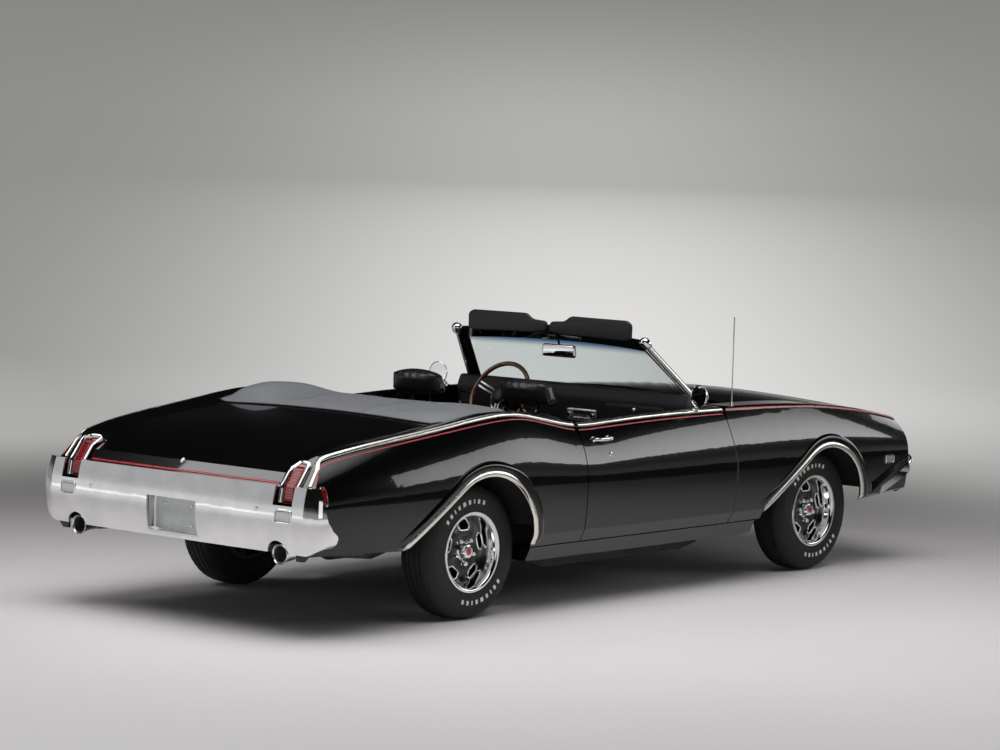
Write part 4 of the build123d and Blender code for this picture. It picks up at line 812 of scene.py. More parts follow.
@dataclass
class RoadWheel:
    """Stamped five-window wheel with its trim ring, nuts and cap, and the tyre on it.

    Attributes:
        axle: Which axle, as the CAD names it.
        x: Place of the axle.
        side: Side of the car.
        turns: Steps round the wheel.
        window: Corners of a window as (across, radius), from its inner edge.
        middle: Radius of a window's middle.
        nut_circle: Radius that the nuts stand on.
        zigzags: Zigzags of a tread groove round the tyre.
    """

    axle: str
    x: float
    side: Side
    turns: int = 96
    window: tuple = ((-0.03, 0.103), (0.03, 0.103), (0.044, 0.126), (0.026, 0.152), (-0.026, 0.152), (-0.044, 0.126))
    middle: float = 0.1285
    nut_circle: float = 0.0603
    zigzags: int = 54

    @property
    def body(self) -> str:
        """CAD body of this wheel."""
        return f"wheel_{self.axle}_{self.side.word}"

    def place(self, radius: float, angle: float, out: float) -> Vector:
        """Point at a radius, an angle round the wheel and a distance out of its middle plane."""
        return Vector((self.x + radius * cos(angle), self.side.value * (HALF_TRACK + out),
                       TYRE_RADIUS + radius * sin(angle)))

    def turned(self, profile: Pairs, loop: bool = True, turns: int = 0) -> Shape:
        """Profile turned about the axle.

        Args:
            profile: Radius and distance out, in order.
            loop: Whether the profile closes on itself.
            turns: Steps round, or 0 for the usual ones.

        Returns:
            The shape.
        """
        count = turns or self.turns
        rings = [[self.place(r, a, o) for r, o in profile] for a in circle(count)]
        return Shape().loft(rings, closed=loop, caps=False, loop=True)

    @property
    def fifths(self) -> list[float]:
        """Angles of the five windows, the first one at the top."""
        return [pi / 2 + k * radians(72) for k in range(5)]

    @staticmethod
    def face(radius: float) -> float:
        """Height of the stamped face at a radius."""
        return float(np.interp(radius, (0.04, 0.066, 0.09, 0.12, 0.146, 0.16),
                               (0.034, 0.036, 0.041, 0.036, 0.026, 0.02)))

    def outline(self, grow: float, count: int) -> list[tuple[float, float]]:
        """Softened outline of a window, about its own middle.

        Args:
            grow: How far it is moved outward.
            count: Number of points.

        Returns:
            The outline as (across, radius) points.
        """
        corners = [(a, r - self.middle) for a, r in self.window]
        found = []
        for a in circle(count):
            way = (sin(a), cos(a))
            reach = 1.0
            for (ax, ay), (bx, by) in zip(corners, corners[1:] + corners[:1]):
                nx, ny = by - ay, ax - bx
                size = hypot(nx, ny)
                gap = (ax * nx + ay * ny) / size
                facing = (way[0] * nx + way[1] * ny) / size
                if gap < 0:
                    gap, facing = -gap, -facing
                if facing > 1e-6:
                    reach = min(reach, gap / facing)
            soft = 0.75 * reach + 0.25 * min(reach, 0.03)
            found.append((way[0] * (soft + grow), self.middle + way[1] * (soft + grow)))
        return found

    def disc(self) -> None:
        """Stamped face with five windows that fold back at their edges."""
        shape = Shape()
        count = 48
        inner = self.outline(0.0, count)
        low, high = 0.04, 0.16
        half = radians(36)
        for centre in self.fifths:
            edge = []
            for across, radius in inner:
                a, r = across, radius - self.middle
                best = 10.0
                for step in np.linspace(1.0, 12.0, 400):
                    p = (a * step, self.middle + r * step)
                    size, turn = hypot(*p), abs(atan2(p[0], p[1]))
                    if size > high or size < low or turn > half:
                        best = step
                        break
                edge.append((a * best, self.middle + r * best))
            rings = []
            for t in (0.0, 0.25, 0.5, 0.7, 0.85, 0.95, 1.0, 1.0):
                fold = 0.014 if len(rings) == 7 else 0.0
                ring = []
                for (ex, ey), (ix, iy) in zip(edge, inner):
                    px, py = ex + (ix - ex) * t, ey + (iy - ey) * t
                    size, turn = hypot(px, py), atan2(px, py)
                    ridge = 0.005 * max(0.0, (abs(turn) / half)) ** 2 * sin(
                        pi * min(1.0, max(0.0, (size - low) / (high - low))))
                    ring.append(self.place(size, centre - turn, self.face(size) + ridge - fold))
                rings.append(ring)
            shape.loft(rings, caps=False)
        shape.build(f"{self.body}_disc", WHEEL_BLACK, 50, self.body)

    def brightwork(self) -> None:
        """Trim ring, window edges, nuts and cap."""
        ring = [(0.186, 0.086), (0.196, 0.089), (0.1995, 0.0935), (0.197, 0.0985), (0.189, 0.0992), (0.18, 0.0962),
                (0.1755, 0.088), (0.172, 0.072), (0.167, 0.058), (0.163, 0.044), (0.159, 0.028), (0.156, 0.019)]
        back = [(r + 0.002, o - 0.003) for r, o in reversed(ring[4:])]
        self.turned(ring + back).build(f"{self.body}_trim_ring", CHROME, 50, self.body)
        shape = Shape()
        for centre in self.fifths:
            path = []
            for a, r in self.outline(0.002, 48):
                size, turn = hypot(a, r), atan2(a, r)
                path.append(self.place(size, centre - turn, self.face(size) + 0.001))
            shape.sweep(path, [Vector((0, self.side.value, 0))] * len(path), dome(0.0085, 0.0045), True)
        shape.build(f"{self.body}_window_edges", CHROME, body=self.body)
        nuts = Shape()
        for centre in self.fifths:
            spot = self.place(self.nut_circle, centre + radians(36), 0.0)
            profile = [(0.0145, 0.03), (0.0145, 0.038), (0.012, 0.04), (0.012, 0.053), (0.01, 0.06),
                       (0.006, 0.064), (0.0, 0.065)]
            nuts.lathe(profile, spot, (0, self.side.value, 0), 12)
        nuts.build(f"{self.body}_nuts", CHROME, 30, self.body)
        cap = [(0.047, 0.03), (0.046, 0.037), (0.037, 0.042), (0.0345, 0.064), (0.031, 0.072), (0.024, 0.0745),
               (0.0185, 0.0745), (0.018, 0.0725), (0.0, 0.0725)]
        self.turned(cap, False, 48).build(f"{self.body}_cap", CHROME, 40, self.body)
        crest = [(0.0175, 0.072), (0.017, 0.0734), (0.01, 0.0742), (0.0, 0.0745)]
        self.turned(crest, False, 40).build(f"{self.body}_cap_crest", STRIPE, 40, self.body)

    def barrel(self) -> None:
        """Rolled rim and the brake drum behind the face, in place of the plain CAD wheel."""
        rim = [(0.182, -0.086), (0.194, -0.086), (0.194, -0.092), (0.176, -0.092), (0.17, -0.06), (0.158, -0.04),
               (0.158, 0.022), (0.163, 0.04), (0.172, 0.066), (0.182, 0.088), (0.188, 0.088), (0.182, 0.08),
               (0.172, 0.05), (0.164, 0.022), (0.164, -0.036), (0.176, -0.06)]
        made = self.turned(rim).build(f"{self.body}_barrel", WHEEL_BLACK, body=self.body)
        drum = [(0.03, -0.04), (0.128, -0.04), (0.132, -0.034), (0.132, -0.008), (0.12, 0.004), (0.06, 0.012),
                (0.03, 0.012)]
        self.turned(drum).build(f"{self.body}_drum", IRON, body=self.body)
        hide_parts(self.body)

    def wall(self, radius: float) -> float:
        """How far the tyre's side stands out at a radius."""
        return float(np.interp(radius, (0.192, 0.199, 0.212, 0.226, 0.246, 0.27, 0.292, 0.309, 0.321),
                               (0.088, 0.0945, 0.0985, 0.1008, 0.102, 0.1005, 0.096, 0.087, 0.074)))

    def tyre(self) -> None:
        """Bias-ply tyre with five zigzag ribs, shoulder cuts and ringed sides."""
        count = self.zigzags * 4
        rows: list[tuple[float, float, float]] = []
        for r in (0.184, 0.19, 0.197, 0.204, 0.21, 0.2105, 0.214, 0.2145, 0.222, 0.232, 0.244, 0.258, 0.27, 0.28,
                  0.2806, 0.284, 0.2846, 0.294, 0.304, 0.313, 0.321):
            proud = 0.0012 if r in (0.2105, 0.214, 0.2806, 0.284) else 0.0
            rows.append((self.wall(r) + proud if r > 0.191 else 0.086, r, 0.0))
        rows.append((0.064, 0.3265, 0.0))
        for middle in (0.046, 0.017, -0.017, -0.046):
            for shift, depth in ((0.0042, 0.0), (0.003, 0.007), (-0.003, 0.007), (-0.0042, 0.0)):
                spot = middle + shift
                rows.append((spot, 0.33 - 0.9 * spot * spot - depth, 1.0))
        rows.append((-0.064, 0.3265, 0.0))
        rows += [(-o, r, z) for o, r, z in reversed(rows[:21])]
        rings = []
        for k in range(count):
            angle = 2 * pi * k / count
            swing = (0.0, 0.0026, 0.0, -0.0026)[k % 4]
            ring = []
            for o, r, zig in rows:
                cut = 0.0035 if 0.314 < r < 0.328 and not zig and k % 4 == 0 else 0.0
                ring.append(self.place(r - cut, angle, o + swing * zig))
            rings.append(ring)
        shape = Shape().loft(rings, closed=True, caps=False, loop=True)
        made = shape.build(f"{self.body}_tyre_cover", RUBBER, 32, self.body)
        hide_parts(f"tyre_{self.axle}_{self.side.word}")

    def marks(self) -> None:
        """Two runs of plain raised white dashes on the outer side."""
        shape = Shape()
        section = ((0.236, -0.002), (0.236, 0.0012), (0.243, 0.0016), (0.25, 0.0016), (0.257, 0.0012), (0.257, -0.002),
                   (0.246, -0.002))
        spans = (3.6, 3.6, 2.0, 3.6, 4.6, 3.6, 2.0, 3.6, 3.6)
        for start in (radians(72), radians(252)):
            angle = start
            for span in spans:
                wide = radians(span)
                shape.loft([[self.place(r, angle + wide * t, self.wall(r) + lift) for r, lift in section]
                            for t in np.linspace(0, 1, 4)])
                angle += wide + radians(5.0)
        shape.build(f"{self.body}_side_marks", WHITE_RUBBER, 30, self.body)

    def build(self) -> None:
        """Make the whole wheel."""
        self.disc()
        self.brightwork()
        self.barrel()
        self.tyre()
        self.marks()


@dataclass
class BeltTrim:
    """Bright moulding and red stripe along the top of one side.

    Attributes:
        side: Side of the car.
        roll: Radius of the rolled shoulder that they lie on.
        crest: Places of the shoulder as (x, y, z).
        width: Width of the moulding.
        height: Height of the moulding.
        stripe: Width of the stripe.
    """

    side: Side
    roll: float = 0.026
    crest: tuple = ((-2.44, 0.792, 0.836), (-2.392, 0.8, 0.848), (-2.092, 0.84, 0.9), (-1.642, 0.862, 0.955),
                    (-1.122, 0.868, 1.0), (-0.86, 0.87, 0.966), (-0.6415, 0.872, 0.925), (-0.3415, 0.872, 0.93),
                    (0.2585, 0.872, 0.943), (0.959, 0.87, 0.938), (1.559, 0.862, 0.91), (2.109, 0.838, 0.84),
                    (2.29, 0.822, 0.802))
    width: float = 0.024
    height: float = 0.006
    stripe: float = 0.0065

    def line(self, first: float, last: float, turn: float, skin: Hide, drop: float = 0.0) -> tuple[list, list]:
        """Points and normals on the shoulder between two stations.

        Args:
            first: X where it starts.
            last: X where it ends.
            turn: How far round the shoulder it lies, in degrees up from level.
            skin: Panel that carries it.
            drop: How far it lies below the shoulder's lower edge.

        Returns:
            The points and the outward normals.
        """
        s = self.side.value
        spots = [p for p in rounded(self.crest, 420) if first <= p.x <= last]
        points, normals = [], []
        a = radians(turn)
        for p in spots:
            centre = (p.y - self.roll, p.z - self.roll - drop)
            reach = self.roll + 0.02
            guess = Vector((p.x, s * (centre[0] + reach * cos(a)), centre[1] + reach * sin(a)))
            hit, normal = skin.nearest(guess)
            if (guess - hit).dot(normal) < 0:
                normal = -normal
            points.append(hit)
            normals.append(normal)
        return self.eased(points, normals)

    @staticmethod
    def eased(points: list, normals: list) -> tuple[list, list]:
        """Points and normals with small steps between facets taken out.

        Args:
            points: The points.
            normals: Their normals.

        Returns:
            Both, eased.
        """
        place, soft = np.array([list(p) for p in points]), np.array([list(n) for n in normals])
        for _ in range(6):
            place[1:-1] = (place[:-2] + place[1:-1] * 2 + place[2:]) / 4
            soft[1:-1] = (soft[:-2] + soft[1:-1] * 2 + soft[2:]) / 4
        return [Vector(p) for p in place], [Vector(n).normalized() for n in soft]

    def tail(self, skin: Hide, places: Sequence[Point]) -> tuple[list, list]:
        """Points and normals where the trim turns down beside the tail lamp.

        Args:
            skin: Panel that carries it.
            places: Places that it passes, on the left side.

        Returns:
            The points and the outward normals.
        """
        s = self.side.value
        points, normals = [], []
        for p in rounded(places, 40):
            hit, normal = skin.nearest((p.x - 0.02, s * (p.y + 0.02), p.z + 0.01))
            points.append(hit)
            normals.append(normal if normal.dot(Vector((-0.5, s, 0.4))) > 0 else -normal)
        return self.eased(points, normals)

    def build(self) -> None:
        """Lay the moulding and the stripe on each panel that they cross."""
        w = self.side.word
        spans = (("quarter", "body", -2.4, -0.645), ("door", f"door_{w}", -0.632, 0.58), ("fender", "body", 0.6, 2.28))
        turns = (((-2.4, 0.797, 0.848), (-2.436, 0.796, 0.822), (-2.462, 0.8, 0.776), (-2.484, 0.806, 0.722)),
                 ((-2.395, 0.824, 0.824), (-2.422, 0.824, 0.8), (-2.444, 0.826, 0.764), (-2.464, 0.83, 0.718)))
        for panel, body, first, last in spans:
            skin = Hide(f"{panel}_{w}")
            if panel == "fender":
                stripe, wide = self.line(first, last, 30.0, skin), 0.009
            else:
                runs = [self.line(first, last, 38.0, skin), self.line(first, last, 2.0, skin, 0.004)]
                if panel == "quarter":
                    downs = [self.tail(skin, turn) for turn in turns]
                    runs = [self.eased(down[0][::-1] + run[0][2:], down[1][::-1] + run[1][2:])
                            for run, down in zip(runs, downs)]
                belt, stripe, wide = *runs, self.stripe
                Shape().sweep(*belt, dome(self.width, self.height)).build(
                    f"belt_moulding_{panel}_{w}", STAINLESS, body=body)
            Shape().sweep(*stripe, dome(wide, 0.0012, 3, 0.0006)).build(f"red_stripe_{panel}_{w}", STRIPE, body=body)


@dataclass
class ArchTrim:
    """Bright lip round a wheel opening and the swelled edge of the panel outside it.

    Attributes:
        panel: CAD panel that carries it.
        x: Place of the axle.
        rise: Height of the opening's centre above the axle.
        side: Side of the car.
        radius: Radius of the opening.
        trail: End of the sloping rear side, from the axle, and its height.
        front_end: Height at which the front side ends.
    """

    panel: str
    x: float
    rise: float
    side: Side
    radius: float = 0.338
    trail: tuple[float, float] = (-0.6, 0.372)
    front_end: float = 0.352

    def line(self, grow: float) -> list[tuple[float, float]]:
        """Outline of the opening as (x, z), grown outward.

        Args:
            grow: How far it is moved outward.

        Returns:
            The outline, from the rear foot to the front one.
        """
        radius = self.radius + grow
        cz = TYRE_RADIUS + self.rise
        dx, dz = self.trail[0], self.trail[1] - cz + grow * 0.6
        dx -= grow * 0.6
        reach = hypot(dx, dz)
        angle = atan2(dz, dx) - acos(radius / reach)
        angle %= 2 * pi
        touch = (radius * cos(angle), radius * sin(angle))
        points = [(dx + (touch[0] - dx) * t, dz + (touch[1] - dz) * t) for t in np.linspace(0.02, 1, 22)]
        points += [(radius * cos(a), radius * sin(a)) for a in np.linspace(angle, 0, 44)[1:]]
        points += [(radius, z - cz) for z in np.linspace(cz, self.front_end, 6)[1:]]
        return [(self.x + a, cz + b) for a, b in points]

    def laid(self, grow: float, skin: Hide) -> tuple[list, list]:
        """Points and outward normals of the grown outline on the panel.

        Args:
            grow: How far the outline is moved outward.
            skin: Panel that carries it.

        Returns:
            The points and the normals.
        """
        s = self.side.value
        points, normals = [], []
        for x, z in self.line(grow):
            found = skin.shot((x, s * 1.3, z), (0, -s, 0))
            if found is None:
                hit, normal = skin.nearest((x, s * 0.95, z))
            else:
                hit, normal = found
            points.append(hit)
            normals.append(normal if normal.y * s > 0 else -normal)
        return points, normals

    def build(self) -> None:
        """Lay the lip and the swelled edge."""
        skin = Hide(f"{self.panel}_{self.side.word}")
        points, normals = self.laid(0.013, skin)
        points = [Vector((p.x, max(-WIDEST + 0.006, min(WIDEST - 0.006, p.y)), p.z)) for p in points]
        section = [(0.015, -0.012), (0.015, 0.003), (0.01, 0.0056), (0.0, 0.0062), (-0.01, 0.005), (-0.015, 0.001),
                   (-0.015, -0.004)]
        if self.side is Side.RIGHT:
            section = [(-a, b) for a, b in reversed(section)]
        name = f"{self.panel}_{self.side.word}"
        Shape().sweep(points, normals, section).build(f"wheel_lip_{name}", STAINLESS)
        bands = []
        rows = ((0.02, 0.001), (0.03, 0.0035), (0.04, 0.0068), (0.05, 0.0085), (0.056, 0.008), (0.062, 0.0055),
                (0.07, 0.0015), (0.074, -0.001))
        for grow, lift in rows:
            line, out = self.laid(grow, skin)
            count = len(line)
            ring = []
            for i, (p, n) in enumerate(zip(line, out)):
                ends = min(1.0, min(i, count - 1 - i) / 9.0)
                q = p + n * (lift * ends if lift > 0 else lift)
                ring.append(Vector((q.x, max(-WIDEST, min(WIDEST, q.y)), q.z)))
            bands.append(ring)
        Shape().loft(bands, closed=False).build(f"wheel_flare_{name}", PAINT, 60)


class Facing(Enum):
    """Which way a pad on the skin looks."""

    SIDE = "x and z, seen from the side"
    REAR = "y and z, seen from behind"
    FRONT = "y and z, seen from ahead"
    TOP = "x and y, seen from above"
    INNER = "x and z, seen from inside the car"


@dataclass
class Pad:
    """Raised pad with rounded corners that follows what carries it.

    Attributes:
        skin: CAD surface under it, or the place of a flat plane.
        facing: Which way it looks.
        centre: Middle in the two directions of the facing.
        half: Half sizes in the two directions.
        side: Side of the car, for pads that look sideways.
        square: 2 for an ellipse, more for squarer corners.
        steps: Points round its edge.
    """

    skin: Hide | float
    facing: Facing
    centre: tuple[float, float]
    half: tuple[float, float]
    side: Side = Side.RIGHT
    square: float = 6.0
    steps: int = 48

    def spot(self, a: float, b: float) -> tuple[Vector, Vector]:
        """Surface point and outward normal at two coordinates.

        Args:
            a: First coordinate of the facing.
            b: Second coordinate.

        Returns:
            The point and the normal.
        """
        s = self.side.value
        start, way = {
            Facing.SIDE: (Vector((a, s * 1.4, b)), Vector((0, -s, 0))),
            Facing.REAR: (Vector((-3.2, a, b)), Vector((1, 0, 0))),
            Facing.FRONT: (Vector((3.2, a, b)), Vector((-1, 0, 0))),
            Facing.TOP: (Vector((a, b, 1.8)), Vector((0, 0, -1))),
            Facing.INNER: (Vector((a, 0, b)), Vector((0, s, 0))),
        }[self.facing]
        if not isinstance(self.skin, Hide):
            axis = max(range(3), key=lambda i: abs(way[i]))
            start[axis] = self.skin
            return start, -way
        hit, normal = self.skin.shot(start, way) or self.skin.nearest(start + way * 2.2)
        return hit, normal if normal.dot(way) < 0 else -normal

    def ring(self, inset: float, lift: float) -> list[Vector]:
        """Rounded outline on what carries the pad.

        Args:
            inset: How far it is moved in.
            lift: How far it is raised.

        Returns:
            The points.
        """
        points = []
        for t in circle(self.steps):
            c, s = cos(t), sin(t)
            u = copysign(abs(c) ** (2 / self.square), c) * max(self.half[0] - inset, 1e-4)
            v = copysign(abs(s) ** (2 / self.square), s) * max(self.half[1] - inset, 1e-4)
            hit, normal = self.spot(self.centre[0] + u, self.centre[1] + v)
            points.append(hit + normal * lift)
        return points

    def solid(self, rows: Pairs) -> Shape:
        """Pad through rows of (inset, lift), from its rim to its middle."""
        return Shape().loft([self.ring(d, h) for d, h in rows])

    def frame(self, width: float, height: float, sink: float = 0.002) -> Shape:
        """Raised frame just outside the pad's edge.

        Args:
            width: Its width.
            height: Its height.
            sink: How far it reaches into what carries it.

        Returns:
            The closed shape.
        """
        rows = ((0.0, -sink), (0.0, height * 0.7), (-width * 0.25, height), (-width * 0.75, height),
                (-width, height * 0.5), (-width, -sink))
        return Shape().loft([self.ring(d, h) for d, h in rows], caps=False, loop=True)

    def fluted(self, lift: float, flutes: int, depth: float, upright: bool = False) -> Shape:
        """Domed pad with flutes moulded across it.

        Args:
            lift: Height of the dome.
            flutes: Number of flutes.
            depth: Depth of a flute.
            upright: Whether the flutes run along the second direction.

        Returns:
            The closed shape.
        """
        n, m = (flutes * 6, 10) if upright else (10, flutes * 6)
        rows = []
        for j in range(m + 1):
            row = []
            for i in range(n + 1):
                u, v = 2 * i / n - 1, 2 * j / m - 1
                edge = min(1.0, 6 * (1 - abs(u))) * min(1.0, 6 * (1 - abs(v)))
                wave = depth * abs(sin(pi * flutes * ((u if upright else v) + 1) / 2))
                a, b = u * self.half[0], v * self.half[1]
                hit, normal = self.spot(self.centre[0] + a, self.centre[1] + b)
                row.append(hit + normal * (lift * edge - wave * edge))
            rows.append(row)
        shape = Shape().loft(rows, closed=False)
        rim = edge_of(rows)
        inward = self.spot(*self.centre)[1] * -0.004
        return shape.loft([rim, [p + inward for p in rim]], caps=False).add(
            [p + inward for p in rim], [tuple(range(len(rim)))])


def pillow(outline: Sequence[Point], out: Point, thick: float, edge: float) -> Shape:
    """Closed pad on a flat outline with a rounded edge on both faces.

    Args:
        outline: Corner points in order, in the middle plane.
        out: Direction of its thickness.
        thick: Full thickness.
        edge: Width over which the faces round off.

    Returns:
        The shape.
    """
    way = Vector(out).normalized()
    line = [Vector(p) for p in outline]
    n = len(line)
    area = sum((line[i].cross(line[(i + 1) % n])).dot(way) for i in range(n))
    inward = []
    for i in range(n):
        along = (line[(i + 1) % n] - line[i - 1]).normalized()
        inward.append(way.cross(along) * (1 if area > 0 else -1))
    rings = []
    for a in np.linspace(-90, 90, 9):
        inset = edge * (1 - cos(radians(a)))
        lift = thick / 2 * sin(radians(a))
        rings.append([p + d * inset + way * lift for p, d in zip(line, inward)])
    return Shape().loft(rings)


def filleted(corners: Pairs, radius: float, steps: int = 5) -> list[tuple[float, float]]:
    """Flat outline with its corners rounded.

    Args:
        corners: Corner points in order.
        radius: Corner radius, cut back where a side is short.
        steps: Points on each corner.

    Returns:
        The rounded outline.
    """
    found = []
    n = len(corners)
    for i in range(n):
        p, a, b = (Vector(corners[k % n]) for k in (i, i - 1, i + 1))
        da, db = (a - p), (b - p)
        cut = min(radius, da.length * 0.45, db.length * 0.45)
        start, end = p + da.normalized() * cut, p + db.normalized() * cut
        for t in np.linspace(0, 1, steps):
            found.append(tuple(start * (1 - t) ** 2 + p * 2 * t * (1 - t) + end * t ** 2))
    return found


@dataclass
class TailFittings:
    """Lamps, plate, lock, stripe and pipe ends at the tail, and the markers of both ends.

    Attributes:
        lamp: Line of a lamp bezel as (across, height), from its inner foot to its outer foot.
        plate: Half sizes of the blank plate.
        tip: Profile of a pipe end as (radius, back).
    """

    lamp: tuple = ((0.668, 0.636), (0.669, 0.72), (0.672, 0.79), (0.682, 0.811), (0.718, 0.817), (0.754, 0.811),
                   (0.764, 0.79), (0.767, 0.72), (0.768, 0.636))
    plate: tuple[float, float] = (0.1525, 0.0765)
    tip: tuple = ((0.03, 0.0), (0.032, 0.03), (0.0365, 0.07), (0.045, 0.105), (0.0478, 0.119), (0.0465, 0.1205),
                  (0.0435, 0.117), (0.0345, 0.08), (0.03, 0.04), (0.0285, 0.0))

    def lamps(self, side: Side) -> None:
        """Tail lamp, reversing lamp and markers of one side.

        Args:
            side: Side of the car.
        """
        s, w = side.value, side.word
        skin = Hide("tail_lamps", f"quarter_{w}")
        pad = Pad(skin, Facing.REAR, (s * 0.718, 0.716), (0.034, 0.082))
        line = [pad.spot(s * p[0], p[1]) for p in rounded(self.lamp, 60)]
        Shape().sweep(*zip(*line), dome(0.026, 0.015, 9)).build(f"tail_lamp_bezel_{w}", CHROME)
        pad.fluted(0.008, 14, 0.0016).build(f"tail_lamp_lens_{w}", RED_LENS, 60)
        back = Pad(Hide("rear_bumper"), Facing.REAR, (s * 0.727, 0.577), (0.047, 0.026))
        back.fluted(0.0035, 12, 0.001, True).build(f"reversing_lens_{w}", CLEAR_LENS, 60)
        back.frame(0.007, 0.0045).build(f"reversing_bezel_{w}", CHROME)
        bed = Hide(f"quarter_{w}")
        mark = Pad(bed, Facing.SIDE, (-2.45, 0.674), (0.013, 0.04), side, 3.0)
        made = mark.fluted(0.006, 5, 0.0012).build(f"rear_marker_lens_{w}", RED_LENS, 60)
        if side is Side.LEFT:
            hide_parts("marker_lamps")
        mark.frame(0.006, 0.008).build(f"rear_marker_bezel_{w}", CHROME)
        nose = Pad(Hide(f"fender_{w}"), Facing.SIDE, (2.09, 0.583), (0.04, 0.018), side, 8.0)
        nose.fluted(0.006, 9, 0.0012, True).build(f"front_marker_lens_{w}", CLEAR_LENS, 60)
        nose.frame(0.005, 0.007).build(f"front_marker_bezel_{w}", CHROME)

    def pipe_end(self, side: Side) -> None:
        """Trumpet end and hanger of one exhaust.

        Args:
            side: Side of the car.
        """
        s, w = side.value, side.word
        origin = (-2.402, s * 0.681, 0.397)
        rings = Shape().lathe(self.tip, origin, (-1, 0, 0), 48, True)
        rings.build(f"exhaust_trumpet_{w}", CHROME, 50)
        # A dark matt disc closes the bore a little way in: soot, and painted shade of the pipe's depth.
        soot_and_shade = [(0.0, 0.062), (0.029, 0.062), (0.0325, 0.074), (0.033, 0.07), (0.029, 0.058), (0.0, 0.058)]
        Shape().lathe(soot_and_shade, origin, (-1, 0, 0), 32).build(f"exhaust_bore_{w}", DIAL)
        strap = rounded([(-2.43, s * 0.64, 0.405), (-2.425, s * 0.655, 0.44), (-2.42, s * 0.681, 0.452),
                         (-2.425, s * 0.707, 0.44), (-2.43, s * 0.722, 0.405)], 24)
        Shape().tube(strap, 0.005, 10).build(f"exhaust_hanger_{w}", CHROME)

    def plate_and_lock(self) -> None:
        """Blank plate with its screws, lid lock, bumper bolts and the stripe along the lid."""
        pad = Pad(-2.5085, Facing.REAR, (0.0, 0.514), self.plate, square=14.0)
        rows = ((0.0, 0.0), (0.0, 0.0022), (0.002, 0.0034), (0.005, 0.0034), (0.007, 0.0022), (0.04, 0.0022))
        pad.solid(rows).build("blank_plate", PLATE, 50)
        pad.frame(0.004, 0.004).build("plate_frame", CHROME)
        bolts = Shape()
        head = [(0.0075, 0.0), (0.0075, 0.003), (0.005, 0.0048), (0.0, 0.0052)]
        for y, z in ((0.089, 0.56), (-0.089, 0.56), (0.089, 0.468), (-0.089, 0.468)):
            bolts.lathe(head, (-2.5105, y, z), (-1, 0, 0), 16)
        bumper = Hide("rear_bumper")
        for y, z in ((0.56, 0.6), (-0.56, 0.6)):
            hit, normal = Pad(bumper, Facing.REAR, (0, 0), (0.01, 0.01)).spot(y, z)
            bolts.lathe([(0.011, -0.003), (0.011, 0.0), (0.007, 0.0012), (0.0, 0.0015)], hit, normal, 20)
        bolts.build("plate_and_bumper_bolts", CHROME, 40)
        lid = Hide("trunk_lid")
        pad = Pad(lid, Facing.REAR, (0, 0), (0.01, 0.01))
        hit, normal = pad.spot(0.03, 0.766)
        lock = [(0.0, 0.003), (0.0025, 0.003), (0.003, 0.005), (0.009, 0.005), (0.0105, 0.0035), (0.015, 0.003),
                (0.017, -0.002)]
        Shape().lathe(lock, hit, normal, 32).build("lid_lock", CHROME, 50, "trunk_lid")
        spots = [pad.spot(y, 0.722) for y in np.linspace(-0.632, 0.632, 60)]
        Shape().sweep(*zip(*spots), dome(0.01, 0.0012, 3, 0.0006)).build("red_stripe_lid", STRIPE, body="trunk_lid")

    def build(self) -> None:
        """Make everything at the tail."""
        for side in Side:
            self.lamps(side)
            self.pipe_end(side)
        self.plate_and_lock()


